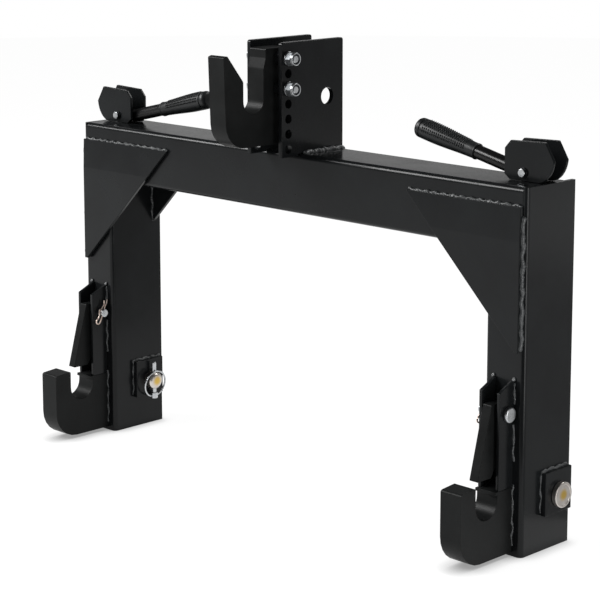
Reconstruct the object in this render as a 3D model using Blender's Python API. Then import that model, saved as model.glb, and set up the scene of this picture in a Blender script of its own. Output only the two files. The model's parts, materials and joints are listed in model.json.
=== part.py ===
"""Three point quick hitch: a welded frame with a top hook, two latching lower hooks and two cam levers.

Metres, +Z up. The origin is on the floor, midway across the frame and midway between the top hook's
nose and the frame's back, with the hooks facing -Y. Pieces of the right side are modelled at +X and
mirrored for the left side.
"""
import bpy
import bmesh
from math import atan, atan2, ceil, cos, pi, radians, sin, sqrt, tan
from mathutils import Matrix, Vector

# Clearances
SEAT = 0.0003
RUNNING = 0.0003
BOLT_SLACK = 0.0005

# Frame: a rolled tube for the beam, folded channels for the legs
HOOK_SPREAD = 0.683
FRAME_HEIGHT = 0.409
BEAM_DEPTH = 0.075
BEAM_HEIGHT = 0.0717
LEG_DEPTH = 0.0835
LEG_WIDTH = 0.054
WALL = 0.005
LEG_FOLD_RADIUS = 0.0055
LEG_INSIDE_RADIUS = 0.0005
BEAM_EDGE_RADIUS = 0.006
ROD_HOLE_ROOM = 0.001

# Gussets
GUSSET_PLATE = 0.0045
GUSSET_STANDOFF = 0.0015
GUSSET_BELOW_BEAM_TOP = 0.0207
GUSSET_FLAP = 0.0375
GUSSET_ABOVE_CHEEK = 0.0316
GUSSET_SIDE_INSET = 0.0048
GUSSET_FOOT = 0.0045
REAR_GUSSET_PLATE = 0.005
REAR_GUSSET_LEG = 0.0625

# Lower hooks, flame cut from plate; heights are measured up from the floor
HOOK_PLATE = 0.0286
HOOK_BOTTOM = 0.0045
THROAT_FLOOR = 0.0465
THROAT_WIDTH = 0.0366
THROAT_AHEAD = 0.0259
THROAT_LIP = 0.0032
THROAT_LIP_HEIGHT = 0.0035
SHOULDER_RISE = 0.0274
PRONG_THICKNESS = 0.0245
PRONG_RISE = 0.0401
PRONG_TOP_FALL = 0.002
PRONG_NOSE_RADIUS = 0.003
PRONG_BACK_RADIUS = 0.002
HOOK_NOSE_RADIUS = 0.033
FLAME_CUT_EDGE = 0.0009

# Latches: two cheeks on each hook's shoulder, and a dog that turns on a clevis pin between them
CHEEK_PLATE = 0.004
CHEEK_AHEAD = 0.0245
CHEEK_ABOVE_PIVOT = 0.025
CHEEK_SLOPE_RISE = 0.011
PIVOT_AHEAD = 0.0105
PIVOT_RISE = 0.0836
DOG_PLATE = 0.012
DOG_NOSE_AHEAD = 0.0393
DOG_NOSE_GAP = 0.0140
DOG_NOSE_DEPTH = 0.023
DOG_HEAD_AHEAD = 0.0175
DOG_HEAD_RISE = 0.012
DOG_HEAD_BEHIND = 0.005
ARM_WIDTH = 0.016
ARM_END_WALL = 0.0055
ARM_ROOT = 0.024
ARM_HEEL = 0.010
CLEVIS_PIN_RADIUS = 0.00525
CLEVIS_HEAD_RADIUS = 0.00875
CLEVIS_HEAD_HEIGHT = 0.005
CLEVIS_TAIL = 0.009
WINDOW_ROOM = 0.002
WINDOW_ABOVE_PIVOT = 0.022
WINDOW_BELOW_PIVOT = 0.078

# Hairpin clips
CLIP_WIRE_RADIUS = 0.00095
CLIP_TILT = radians(23.7)
CLIP_LOOP_RADIUS = 0.0033
CLIP_LEG_BELOW = 0.013
CLIP_LEG_ABOVE = 0.018
CLIP_NECK_BELOW = 0.0086
CLIP_PINCH_GAP = 0.0007
CLIP_PINCH_ABOVE = 0.0105
CLIP_TIP_FLARE = 0.0016
CLIP_TIP_ABOVE = 0.015

# Lower link pins, with their bosses, lynch pins and spring rings
LINK_PIN_RADIUS = 0.011
LINK_PIN_HEIGHT = 0.062
LINK_PIN_BEHIND = 0.0575
LINK_PIN_CHAMFER = 0.003
LINK_PIN_TAIL = 0.013
LINK_HEAD_RADIUS = 0.0145
LINK_HEAD_HEIGHT = 0.006
BOSS_PLATE = 0.007
BOSS_DEPTH = 0.046
BOSS_AHEAD = 0.0245
BOSS_HEIGHT = 0.049
BOSS_BELOW = 0.021
LYNCH_RADIUS = 0.003
LYNCH_FROM_BOSS = 0.0065
LYNCH_TIP_ABOVE = 0.025
LYNCH_HEAD_RADIUS = 0.0047
LYNCH_HEAD_HEIGHT = 0.008
LYNCH_HEAD_DROP = 0.0095
RING_WIRE_RADIUS = 0.0012
RING_ROOM = 0.0065
RING_NECK_GAP = 0.0011

# Mast and top hook; the hook's heights are measured from its upper bolt
MAST_PLATE = 0.006
MAST_GAP = 0.046
MAST_HEIGHT = 0.1328
MAST_AHEAD = 0.028
MAST_BEHIND = 0.075
MAST_TOE_DROP = 0.0023
MAST_CORNER_RADIUS = 0.003
TOP_LINK_HOLE_RADIUS = 0.0103
TOP_LINK_HOLE_BEHIND = 0.0478
TOP_LINK_HOLE_RISE = 0.0648
LEVEL_COUNT = 7
LEVEL_PITCH = 0.0177
LEVEL_BELOW_MAST_TOP = 0.0189
LEVEL_BEHIND_EDGE = 0.0109
BOLT_LEVELS = (0, 2)
BOLT_RADIUS = 0.005
BOLT_PAST_NUT = 0.0005
HEX_FLATS = 0.017
BOLT_HEAD_HEIGHT = 0.0064
NUT_HEIGHT = 0.0105
WASHER_RADIUS = 0.0105
WASHER_THICKNESS = 0.002
BUSH_RADIUS = 0.009
TOP_HOOK_PLATE = 0.0262
TOP_HOOK_REACH = 0.105
TOP_HOOK_TAIL_GAP = 0.0005
TOP_HOOK_ABOVE_BOLT = 0.0118
TOP_PRONG_ABOVE_BOLT = 0.0073
TOP_LIP_BELOW_BOLT = 0.0117
TOP_LEAD_IN_BELOW_BOLT = 0.0242
TOP_THROAT_BELOW_BOLT = 0.0627
TOP_HOOK_BELOW_BOLT = 0.101
TOP_THROAT_WIDTH = 0.032
TOP_THROAT_AHEAD = 0.042
TOP_LIP_STEP = 0.0035
TOP_LIP_SLOPE = 0.013
TOP_PRONG_TIP = 0.006
TOP_HOOK_NOSE_RAKE = 0.0042
TOP_HOOK_NOSE_RADIUS = 0.030

# Cam levers and pull rods
LEVER_BEHIND = 0.0454
LEVER_INBOARD = 0.0041
LEVER_THROW = radians(95)
CAM_PLATE = 0.004
CAM_SPACE = 0.019
CAM_PIN_RISE = 0.0091
CAM_RISE_PER_RADIAN = 0.0201
CAM_NOSE_ANGLE = radians(84)
CAM_CREST = (0.0286, 0.0355)
CAM_SHOULDER = (-0.0184, 0.0338)
CAM_BACK_TOP = (-0.0264, 0.0248)
CAM_BACK_BOTTOM = (-0.0264, -0.0035)
CAM_HEEL = -0.0194
CAM_CORNER_RADIUS = 0.0015
CAM_PIN_RADIUS = 0.00425
CAM_PIN_END = 0.0038
CAM_PIN_HEAD_RADIUS = 0.0065
PIN_RING_RADIUS = 0.006
PIN_RING_THICKNESS = 0.001
LEVER_RADIUS = 0.008
LEVER_SLOPE = radians(13.1)
LEVER_DROP = 0.0042
LEVER_FROM_EYE = 0.008
LEVER_LENGTH = 0.143
GRIP_FROM_PIN = 0.0765
GRIP_END_WALL = 0.006
GRIP_COLLAR_LENGTH = 0.007
GRIP_COLLAR_RADIUS = 0.0100
GRIP_WAIST_RADIUS = 0.0104
GRIP_PALM_RADIUS = 0.0118
PULL_ROD_RADIUS = 0.006
EYE_RADIUS = 0.008
FORK_PLAY = 0.0006
FORK_CHEEK = 0.004
FORK_DEPTH = 0.016
FORK_CROWN = 0.014
FORK_CROWN_HEIGHT = 0.010
FORK_FOOT = 0.008
FORK_CORNER_RADIUS = 0.003
ROD_PIN_RADIUS = 0.004
SLOT_SLACK = 0.0004
PIN_HEAD_HEIGHT = 0.002
PIN_HEAD_RIM = 0.002

# How finely arcs and edges are drawn
ARC_STEP = radians(15)
CAM_STEPS = 10
RING_STEPS = 20
SMOOTH_ANGLE = radians(32)
PLATE_EDGE = 0.0006
PIN_EDGE = 0.0008
PAST = 0.005

# Places that follow from the sizes above
FRONT = (TOP_HOOK_REACH - LEG_DEPTH) / 2
BACK = FRONT + LEG_DEPTH
BEAM_BACK = FRONT + BEAM_DEPTH
HOOK_X = HOOK_SPREAD / 2
LEG_OUTER = HOOK_X + LEG_WIDTH / 2
LEG_INNER = HOOK_X - LEG_WIDTH / 2
BEAM_BOTTOM = FRAME_HEIGHT - BEAM_HEIGHT
BEAM_END = LEG_OUTER - LEG_FOLD_RADIUS - SEAT
GUSSET_TOP = FRAME_HEIGHT - GUSSET_BELOW_BEAM_TOP
GUSSET_SIDE = LEG_OUTER - GUSSET_SIDE_INSET
THROAT_BOTTOM = HOOK_BOTTOM + THROAT_FLOOR
SHOULDER_TOP = THROAT_BOTTOM + SHOULDER_RISE
PRONG_TOP = THROAT_BOTTOM + PRONG_RISE
PIVOT_Y = FRONT - PIVOT_AHEAD
PIVOT_Z = SHOULDER_TOP + PIVOT_RISE
CHEEK_TOP = PIVOT_Z + CHEEK_ABOVE_PIVOT
GUSSET_BOTTOM = CHEEK_TOP + CHEEK_SLOPE_RISE + GUSSET_ABOVE_CHEEK
# The front gusset's slanted edge lies on the line x + z = this
GUSSET_LINE = GUSSET_SIDE - GUSSET_FOOT + GUSSET_BOTTOM
CLIP_X = HOOK_X - HOOK_PLATE / 2 - CLEVIS_TAIL / 2
LINK_PIN_Y = FRONT + LINK_PIN_BEHIND
LINK_PIN_END = LEG_INNER - SEAT - BOSS_PLATE - LINK_PIN_TAIL
LYNCH_X = LEG_INNER - SEAT - BOSS_PLATE - LYNCH_FROM_BOSS
RING_Z = LINK_PIN_HEIGHT - LINK_PIN_RADIUS - LYNCH_HEAD_DROP
MAST_INNER = MAST_GAP / 2
MAST_OUTER = MAST_INNER + MAST_PLATE
MAST_TOP = FRAME_HEIGHT + MAST_HEIGHT
LEVEL_Y = FRONT - MAST_AHEAD + LEVEL_BEHIND_EDGE
LEVER_X = HOOK_X - LEVER_INBOARD
LEVER_Y = FRONT + LEVER_BEHIND
CAM_GAP = CAM_SPACE / 2
# The lever's rod lies against the rear cam plate
LEVER_ROD_Y = LEVER_Y + CAM_GAP - SEAT - LEVER_RADIUS
CAM_PIN_Z = FRAME_HEIGHT + SEAT + CAM_PIN_RISE
ROD_LIFT = CAM_RISE_PER_RADIAN * LEVER_THROW
ARM_REACH = LEVER_Y - PIVOT_Y
# The arm hangs as far below level at rest as it stands above level when the rod is up
DOG_SWING = 2 * atan(ROD_LIFT / 2 / ARM_REACH)
ROD_PIN_Z = PIVOT_Z - ROD_LIFT / 2

# Finishes: colour (linear), metallic, roughness
FINISHES = {
    "black powder coat": ((0.014, 0.014, 0.015), 0.0, 0.42),
    "black oxide steel": ((0.020, 0.020, 0.021), 0.6, 0.35),
    "bright zinc": ((0.62, 0.62, 0.60), 1.0, 0.28),
    "copper flashed wire": ((0.60, 0.42, 0.35), 1.0, 0.30),
    "black rubber": ((0.010, 0.010, 0.010), 0.0, 0.60),
}


def clear_scene():
    for old in list(bpy.data.objects):
        bpy.data.objects.remove(old)


def finish_material(name, finish):
    colour, metallic, roughness = FINISHES[finish]
    material = bpy.data.materials.new(f"{name} {finish}")
    material.use_nodes = True
    shader = material.node_tree.nodes["Principled BSDF"]
    shader.inputs["Base Color"].default_value = (*colour, 1.0)
    shader.inputs["Metallic"].default_value = metallic
    shader.inputs["Roughness"].default_value = roughness
    return material


# Outlines

def outline(*corners):
    """Closed outline of (u, v) corners; a corner with a third value is rounded to that radius."""
    points = []
    for index, corner in enumerate(corners):
        here = Vector(corner[:2])
        if len(corner) == 2:
            points.append(here)
            continue
        radius = corner[2]
        to_before = (Vector(corners[index - 1][:2]) - here).normalized()
        to_after = (Vector(corners[(index + 1) % len(corners)][:2]) - here).normalized()
        half = to_before.angle(to_after) / 2
        centre = here + (to_before + to_after).normalized() * radius / sin(half)
        start = here + to_before * radius / tan(half) - centre
        end = here + to_after * radius / tan(half) - centre
        sweep = atan2(start.x * end.y - start.y * end.x, start.dot(end))
        steps = max(2, ceil(abs(sweep) / ARC_STEP))
        for step in range(steps + 1):
            points.append(centre + Matrix.Rotation(sweep * step / steps, 2) @ start)
    tidy = []
    for index, point in enumerate(points):
        if (point - points[index - 1]).length > 1e-6:
            tidy.append(point)
    return tidy


def rectangle(low_u, low_v, high_u, high_v, radius=None):
    corners = [(low_u, low_v), (high_u, low_v), (high_u, high_v), (low_u, high_v)]
    if radius:
        corners = [(*corner, radius) for corner in corners]
    return outline(*corners)


def facets(radius):
    """How many flats a round of this radius is drawn with; a pin always fits its own bore."""
    if radius < 0.004:
        return 10
    if radius < 0.007:
        return 14
    if radius < 0.0095:
        return 18
    return 22


def slot_outline(centre, direction, travel, radius):
    """A round-ended slot: two half circles, travel apart along direction."""
    along = Vector((cos(direction), sin(direction))) * travel / 2
    half_turn = facets(radius) // 2
    points = []
    for middle, start in ((Vector(centre) + along, direction - pi / 2),
                          (Vector(centre) - along, direction + pi / 2)):
        for step in range(half_turn + 1):
            turn = start + pi * step / half_turn
            points.append(middle + radius * Vector((cos(turn), sin(turn))))
    return points


# Solids

def prism(points, axis, low, high, edge=0.0):
    """Outline pushed from low to high along axis X (u, v = y, z), Y (u, v = x, z) or Z (u, v = x, y).

    An edge value breaks the rims of both flat faces by that much.
    """
    number = "XYZ".index(axis)
    bm = bmesh.new()
    verts = []
    for u, v in points:
        place = [u, v]
        place.insert(number, low)
        verts.append(bm.verts.new(place))
    grown = bmesh.ops.extrude_face_region(bm, geom=[bm.faces.new(verts)])
    push = Vector((0, 0, 0))
    push[number] = high - low
    far = [piece for piece in grown["geom"] if isinstance(piece, bmesh.types.BMVert)]
    bmesh.ops.translate(bm, verts=far, vec=push)
    bmesh.ops.recalc_face_normals(bm, faces=bm.faces[:])
    if edge:
        rims = [rim for rim in bm.edges if abs(rim.verts[0].co[number] - rim.verts[1].co[number]) < 1e-7]
        break_edges(bm, rims, edge)
    return bm


def break_edges(bm, edges, width):
    bmesh.ops.bevel(bm, geom=edges, offset=width, offset_type="OFFSET", segments=1, profile=0.5,
                    affect="EDGES", material=-1, clamp_overlap=True)


def turned(profile, centre, axis, count=None, closed=False):
    """Profile of (along, radius) pairs spun round an axis through centre."""
    count = count or facets(max(radius for _, radius in profile))
    bm = bmesh.new()
    verts = [bm.verts.new((radius, 0, along)) for along, radius in profile]
    pairs = list(zip(verts, verts[1:]))
    if closed:
        pairs.append((verts[-1], verts[0]))
    edges = [bm.edges.new(pair) for pair in pairs]
    bmesh.ops.spin(bm, geom=verts + edges, cent=(0, 0, 0), axis=(0, 0, 1), angle=2 * pi, steps=count,
                   use_merge=True)
    bmesh.ops.remove_doubles(bm, verts=bm.verts[:], dist=1e-7)
    bmesh.ops.recalc_face_normals(bm, faces=bm.faces[:])
    turn = Vector((0, 0, 1)).rotation_difference(Vector(axis)).to_matrix().to_4x4()
    bmesh.ops.transform(bm, matrix=Matrix.Translation(centre) @ turn, verts=bm.verts[:])
    return bm


def bar(start, end, radius, chamfer=0.0):
    """Round bar between two points, its ends broken by chamfer."""
    run = Vector(end) - Vector(start)
    profile = [(0, 0), (0, radius - chamfer)]
    if chamfer:
        profile += [(chamfer, radius), (run.length - chamfer, radius)]
    profile += [(run.length, radius - chamfer), (run.length, 0)]
    return turned(profile, start, run)


def cross_bar(x, y, z, half, radius):
    """Round bar along X, half to each side of x."""
    return bar((x - half, y, z), (x + half, y, z), radius)


def headed_pin(length, radius, head_radius, head_height, rim, chamfer):
    """Profile of a pin whose head starts at length, with the head's far rim broken."""
    return [(0, 0), (0, radius - chamfer), (chamfer, radius), (length, radius), (length, head_radius),
            (length + head_height - rim, head_radius), (length + head_height, head_radius - rim),
            (length + head_height, 0)]


def hexagon(centre, axis, height, chamfer):
    """Hexagonal bar with the rim of its far face turned down."""
    across = HEX_FLATS / sqrt(3)
    bm = turned([(0, 0), (0, across), (height, across), (height, 0)], centre, axis, count=6)
    way = Vector(axis)
    tip = Vector(centre) + way * height
    rims = [rim for rim in bm.edges if all(abs((vert.co - tip).dot(way)) < 1e-6 for vert in rim.verts)
            and rim.calc_face_angle() > 1]
    break_edges(bm, rims, chamfer)
    return bm


def ring(inner, outer, thickness, centre, axis):
    profile = [(0, inner), (thickness, inner), (thickness, outer), (0, outer)]
    return turned(profile, centre, axis, closed=True)


def joined(*parts):
    """Several closed shapes in one mesh, kept as separate solids."""
    whole = bmesh.new()
    for part in parts:
        mesh = bpy.data.meshes.new("part")
        part.to_mesh(mesh)
        whole.from_mesh(mesh)
        bpy.data.meshes.remove(mesh)
    return whole


def side_sign(side):
    return -1 if side == "left" else 1


def mirrored(bm, side):
    """The right side's shape, or its mirror image for the left side."""
    if side == "left":
        bmesh.ops.scale(bm, vec=(-1, 1, 1), verts=bm.verts[:])
        bmesh.ops.reverse_faces(bm, faces=bm.faces[:])
    return bm


# Objects

def add(name, bm, finish, pivot=(0, 0, 0)):
    """An object whose mesh keeps its world place and whose origin is on its pivot."""
    bmesh.ops.translate(bm, verts=bm.verts[:], vec=-Vector(pivot))
    mesh = bpy.data.meshes.new(name)
    bm.to_mesh(mesh)
    bm.free()
    mesh.shade_smooth()
    mesh.set_sharp_from_angle(angle=SMOOTH_ANGLE)
    mesh.materials.append(finish_material(name, finish))
    obj = bpy.data.objects.new(name, mesh)
    obj.location = pivot
    bpy.context.scene.collection.objects.link(obj)
    return obj


def boolean(obj, operation, bm, label):
    """Joins a shape to obj or takes it away, with the other shape kept as a hidden guide."""
    mesh = bpy.data.meshes.new(f"{obj.name}_{label}")
    bm.to_mesh(mesh)
    bm.free()
    guide = bpy.data.objects.new(f"{obj.name}_{label}", mesh)
    guide.hide_render = True
    guide.display_type = "WIRE"
    bpy.context.scene.collection.objects.link(guide)
    modifier = obj.modifiers.new(label, "BOOLEAN")
    modifier.operation = operation
    modifier.solver = "EXACT"
    modifier.object = guide


def wire(name, points, radius, finish, pivot):
    """A bent round wire: a curve through the points, with closed ends."""
    curve = bpy.data.curves.new(name, "CURVE")
    curve.dimensions = "3D"
    curve.bevel_depth = radius
    curve.bevel_resolution = 2
    curve.use_fill_caps = True
    spline = curve.splines.new("POLY")
    spline.points.add(len(points) - 1)
    for place, point in zip(spline.points, points):
        place.co = (*(Vector(point) - Vector(pivot)), 1.0)
    curve.materials.append(finish_material(name, finish))
    obj = bpy.data.objects.new(name, curve)
    obj.location = pivot
    bpy.context.scene.collection.objects.link(obj)


# Welded frame

def build_beam():
    section = rectangle(FRONT, BEAM_BOTTOM, BEAM_BACK, FRAME_HEIGHT, BEAM_EDGE_RADIUS)
    hollow = rectangle(FRONT + WALL, BEAM_BOTTOM + WALL, BEAM_BACK - WALL, FRAME_HEIGHT - WALL)
    beam = add("top_beam", prism(section, "X", -BEAM_END, BEAM_END), "black powder coat")
    boolean(beam, "DIFFERENCE", prism(hollow, "X", -BEAM_END - PAST, BEAM_END + PAST), "hollow")
    passages = []
    for x in (-LEVER_X, LEVER_X):
        passages.append(bar((x, LEVER_Y, BEAM_BOTTOM - PAST), (x, LEVER_Y, FRAME_HEIGHT + PAST),
                            PULL_ROD_RADIUS + ROD_HOLE_ROOM))
    boolean(beam, "DIFFERENCE", joined(*passages), "rod_holes")


def build_leg(side):
    """A folded channel, open at the back; only its outer wall runs up past the beam's end."""
    inside = max(LEG_FOLD_RADIUS - WALL, LEG_INSIDE_RADIUS)
    section = outline((LEG_INNER, BACK), (LEG_INNER, FRONT, LEG_FOLD_RADIUS),
                      (LEG_OUTER, FRONT, LEG_FOLD_RADIUS), (LEG_OUTER, BACK), (LEG_OUTER - WALL, BACK),
                      (LEG_OUTER - WALL, FRONT + WALL, inside), (LEG_INNER + WALL, FRONT + WALL, inside),
                      (LEG_INNER + WALL, BACK))
    leg = add(f"{side}_leg", mirrored(prism(section, "Z", 0, FRAME_HEIGHT), side), "black powder coat")
    notch = rectangle(FRONT - PAST, BEAM_BOTTOM - SEAT, BACK + PAST, FRAME_HEIGHT + PAST)
    notch = prism(notch, "X", LEG_INNER - PAST, BEAM_END + SEAT)
    boolean(leg, "DIFFERENCE", mirrored(notch, side), "beam_seat")
    half = DOG_PLATE / 2 + WINDOW_ROOM
    bottom = PIVOT_Z - WINDOW_BELOW_PIVOT
    window = rectangle(HOOK_X - half, bottom, HOOK_X + half, PIVOT_Z + WINDOW_ABOVE_PIVOT)
    window = prism(window, "Y", FRONT - PAST, FRONT + WALL + PAST)
    boolean(leg, "DIFFERENCE", mirrored(window, side), "latch_window")
    bore = cross_bar(HOOK_X, LINK_PIN_Y, LINK_PIN_HEIGHT, LEG_WIDTH, LINK_PIN_RADIUS + RUNNING)
    boolean(leg, "DIFFERENCE", mirrored(bore, side), "pin_bores")


def build_front_gusset(side):
    """Bent plate: its flap leans against the beam, and below the fold it stands off the leg."""
    fold = GUSSET_TOP - GUSSET_FLAP
    back = FRONT - GUSSET_STANDOFF
    bend = atan2(GUSSET_STANDOFF - SEAT, GUSSET_FLAP)
    outer_fold = fold + GUSSET_PLATE * tan(bend / 2)
    section = outline((FRONT - SEAT, GUSSET_TOP), (back, fold), (back, GUSSET_BOTTOM),
                      (back - GUSSET_PLATE, GUSSET_BOTTOM), (back - GUSSET_PLATE, outer_fold),
                      (FRONT - SEAT - GUSSET_PLATE, GUSSET_TOP))
    plate = prism(section, "X", GUSSET_LINE - GUSSET_TOP, GUSSET_SIDE)
    cut = bmesh.ops.bisect_plane(plate, geom=plate.verts[:] + plate.edges[:] + plate.faces[:],
                                 plane_co=(GUSSET_LINE, 0, 0), plane_no=(-1, 0, -1), clear_outer=True)
    rim = [piece for piece in cut["geom_cut"] if isinstance(piece, bmesh.types.BMEdge)]
    bmesh.ops.holes_fill(plate, edges=rim, sides=0)
    bmesh.ops.remove_doubles(plate, verts=plate.verts[:], dist=1e-6)
    bmesh.ops.recalc_face_normals(plate, faces=plate.faces[:])
    add(f"{side}_front_gusset", mirrored(plate, side), "black powder coat")


def build_rear_gusset(side):
    top = BEAM_BOTTOM - SEAT
    wall = LEG_INNER - SEAT
    corner = outline((wall - REAR_GUSSET_LEG, top), (wall, top - REAR_GUSSET_LEG), (wall, top))
    plate = prism(corner, "Y", BEAM_BACK - REAR_GUSSET_PLATE, BEAM_BACK)
    add(f"{side}_rear_gusset", mirrored(plate, side), "black powder coat")


# Mast and top hook

def level_height(level):
    return MAST_TOP - LEVEL_BELOW_MAST_TOP - level * LEVEL_PITCH


def build_mast_plate(side):
    """Its toe, ahead of the beam, reaches a little below the beam's top."""
    ahead = FRONT - MAST_AHEAD
    behind = FRONT + MAST_BEHIND
    foot = FRAME_HEIGHT + SEAT
    heel = FRONT - SEAT
    shape = outline((ahead, foot - MAST_TOE_DROP), (heel, foot - MAST_TOE_DROP), (heel, foot),
                    (behind, foot), (behind, MAST_TOP, MAST_CORNER_RADIUS),
                    (ahead, MAST_TOP, MAST_CORNER_RADIUS))
    plate = prism(shape, "X", MAST_INNER, MAST_OUTER, edge=PLATE_EDGE)
    plate = add(f"{side}_mast_plate", mirrored(plate, side), "black powder coat")
    middle = (MAST_INNER + MAST_OUTER) / 2
    holes = [cross_bar(middle, FRONT + TOP_LINK_HOLE_BEHIND, FRAME_HEIGHT + TOP_LINK_HOLE_RISE, MAST_PLATE,
                       TOP_LINK_HOLE_RADIUS)]
    for level in range(LEVEL_COUNT):
        holes.append(cross_bar(middle, LEVEL_Y, level_height(level), MAST_PLATE, BOLT_RADIUS + BOLT_SLACK))
    boolean(plate, "DIFFERENCE", mirrored(joined(*holes), side), "holes")


def build_top_hook():
    """Flame cut hook, open upwards, with a sloped prong and a stepped back wall that lead the pin in."""
    bolt = level_height(BOLT_LEVELS[0])
    wall = FRONT - TOP_THROAT_AHEAD
    prong = wall - TOP_THROAT_WIDTH
    nose = FRONT - TOP_HOOK_REACH
    rear = FRONT - TOP_HOOK_TAIL_GAP
    radius = TOP_THROAT_WIDTH / 2 - 1e-5
    top = bolt + TOP_HOOK_ABOVE_BOLT
    lip = bolt - TOP_LIP_BELOW_BOLT
    prong_top = bolt + TOP_PRONG_ABOVE_BOLT
    throat = bolt - TOP_THROAT_BELOW_BOLT
    bottom = bolt - TOP_HOOK_BELOW_BOLT
    shape = outline((rear, bottom), (rear, top, 0.002), (wall + TOP_LIP_STEP, top, 0.002),
                    (wall + TOP_LIP_STEP, lip + TOP_LIP_SLOPE, 0.006), (wall, lip, 0.012),
                    (wall, throat, radius), (prong, throat, radius),
                    (prong, bolt - TOP_LEAD_IN_BELOW_BOLT, 0.004), (nose + TOP_PRONG_TIP, prong_top, 0.0015),
                    (nose, prong_top - 0.0015, 0.0015),
                    (nose + TOP_HOOK_NOSE_RAKE, bottom, TOP_HOOK_NOSE_RADIUS))
    half = TOP_HOOK_PLATE / 2
    hook = add("top_hook", prism(shape, "X", -half, half, edge=FLAME_CUT_EDGE), "black powder coat")
    bores = []
    for level in BOLT_LEVELS:
        bores.append(cross_bar(0, LEVEL_Y, level_height(level), TOP_HOOK_PLATE, BOLT_RADIUS + BOLT_SLACK))
    boolean(hook, "DIFFERENCE", joined(*bores), "bolt_holes")


def build_top_hook_fixings():
    """Two bolts from the left, with spacer bushes beside the hook and locking nuts on the right."""
    bore = BOLT_RADIUS + RUNNING
    bush_start = TOP_HOOK_PLATE / 2 + SEAT
    bush_length = MAST_INNER - SEAT - bush_start
    washer_start = MAST_OUTER + SEAT
    nut_start = washer_start + WASHER_THICKNESS + SEAT
    for number, level in enumerate(BOLT_LEVELS, 1):
        height = level_height(level)
        for side in ("left", "right"):
            way = (side_sign(side), 0, 0)
            bush = ring(bore, BUSH_RADIUS, bush_length, (way[0] * bush_start, LEVEL_Y, height), way)
            add(f"{side}_hook_bush_{number}", bush, "black powder coat")
            seat = (way[0] * washer_start, LEVEL_Y, height)
            add(f"{side}_hook_washer_{number}", ring(bore, WASHER_RADIUS, WASHER_THICKNESS, seat, way),
                "bright zinc")
        shank = bar((-nut_start - BOLT_HEAD_HEIGHT / 2, LEVEL_Y, height),
                    (nut_start + NUT_HEIGHT + BOLT_PAST_NUT, LEVEL_Y, height), BOLT_RADIUS, chamfer=PIN_EDGE)
        bolt = add(f"hook_bolt_{number}", shank, "bright zinc")
        head = hexagon((-nut_start, LEVEL_Y, height), (-1, 0, 0), BOLT_HEAD_HEIGHT, 0.0012)
        boolean(bolt, "UNION", head, "head")
        nut = hexagon((nut_start, LEVEL_Y, height), (1, 0, 0), NUT_HEIGHT, 0.0016)
        nut = add(f"hook_nut_{number}", nut, "bright zinc")
        boolean(nut, "DIFFERENCE", cross_bar(nut_start, LEVEL_Y, height, 2 * NUT_HEIGHT, bore), "bore")


# Lower hooks and their latches

def build_lower_hook(side):
    """Open upwards; a small lip stands out where the throat's back wall meets the shoulder."""
    wall = FRONT - THROAT_AHEAD
    prong = wall - THROAT_WIDTH
    nose = prong - PRONG_THICKNESS
    root = FRONT - SEAT
    radius = THROAT_WIDTH / 2 - 1e-5
    lip = wall - THROAT_LIP
    under_lip = SHOULDER_TOP - THROAT_LIP_HEIGHT
    shape = outline((root, HOOK_BOTTOM), (root, SHOULDER_TOP), (lip, SHOULDER_TOP), (lip, under_lip),
                    (wall, under_lip), (wall, THROAT_BOTTOM, radius), (prong, THROAT_BOTTOM, radius),
                    (prong, PRONG_TOP, PRONG_BACK_RADIUS),
                    (nose, PRONG_TOP - PRONG_TOP_FALL, PRONG_NOSE_RADIUS),
                    (nose, HOOK_BOTTOM, HOOK_NOSE_RADIUS))
    half = HOOK_PLATE / 2
    hook = prism(shape, "X", HOOK_X - half, HOOK_X + half, edge=FLAME_CUT_EDGE)
    add(f"{side}_lower_hook", mirrored(hook, side), "black powder coat")


def build_latch_cheeks(side):
    """Two plates on the hook's shoulder, welded to the leg, that carry the latch's pin."""
    root = FRONT - SEAT
    front = FRONT - CHEEK_AHEAD
    foot = SHOULDER_TOP + SEAT
    shape = outline((root, foot), (root, CHEEK_TOP + CHEEK_SLOPE_RISE), (front, CHEEK_TOP), (front, foot))
    half = HOOK_PLATE / 2
    for name, low in (("inner", HOOK_X - half), ("outer", HOOK_X + half - CHEEK_PLATE)):
        plate = mirrored(prism(shape, "X", low, low + CHEEK_PLATE, edge=PLATE_EDGE / 2), side)
        plate = add(f"{side}_{name}_latch_cheek", plate, "black powder coat")
        bore = cross_bar(HOOK_X, PIVOT_Y, PIVOT_Z, HOOK_PLATE, CLEVIS_PIN_RADIUS + RUNNING)
        boolean(plate, "DIFFERENCE", mirrored(bore, side), "pin_hole")


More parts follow.
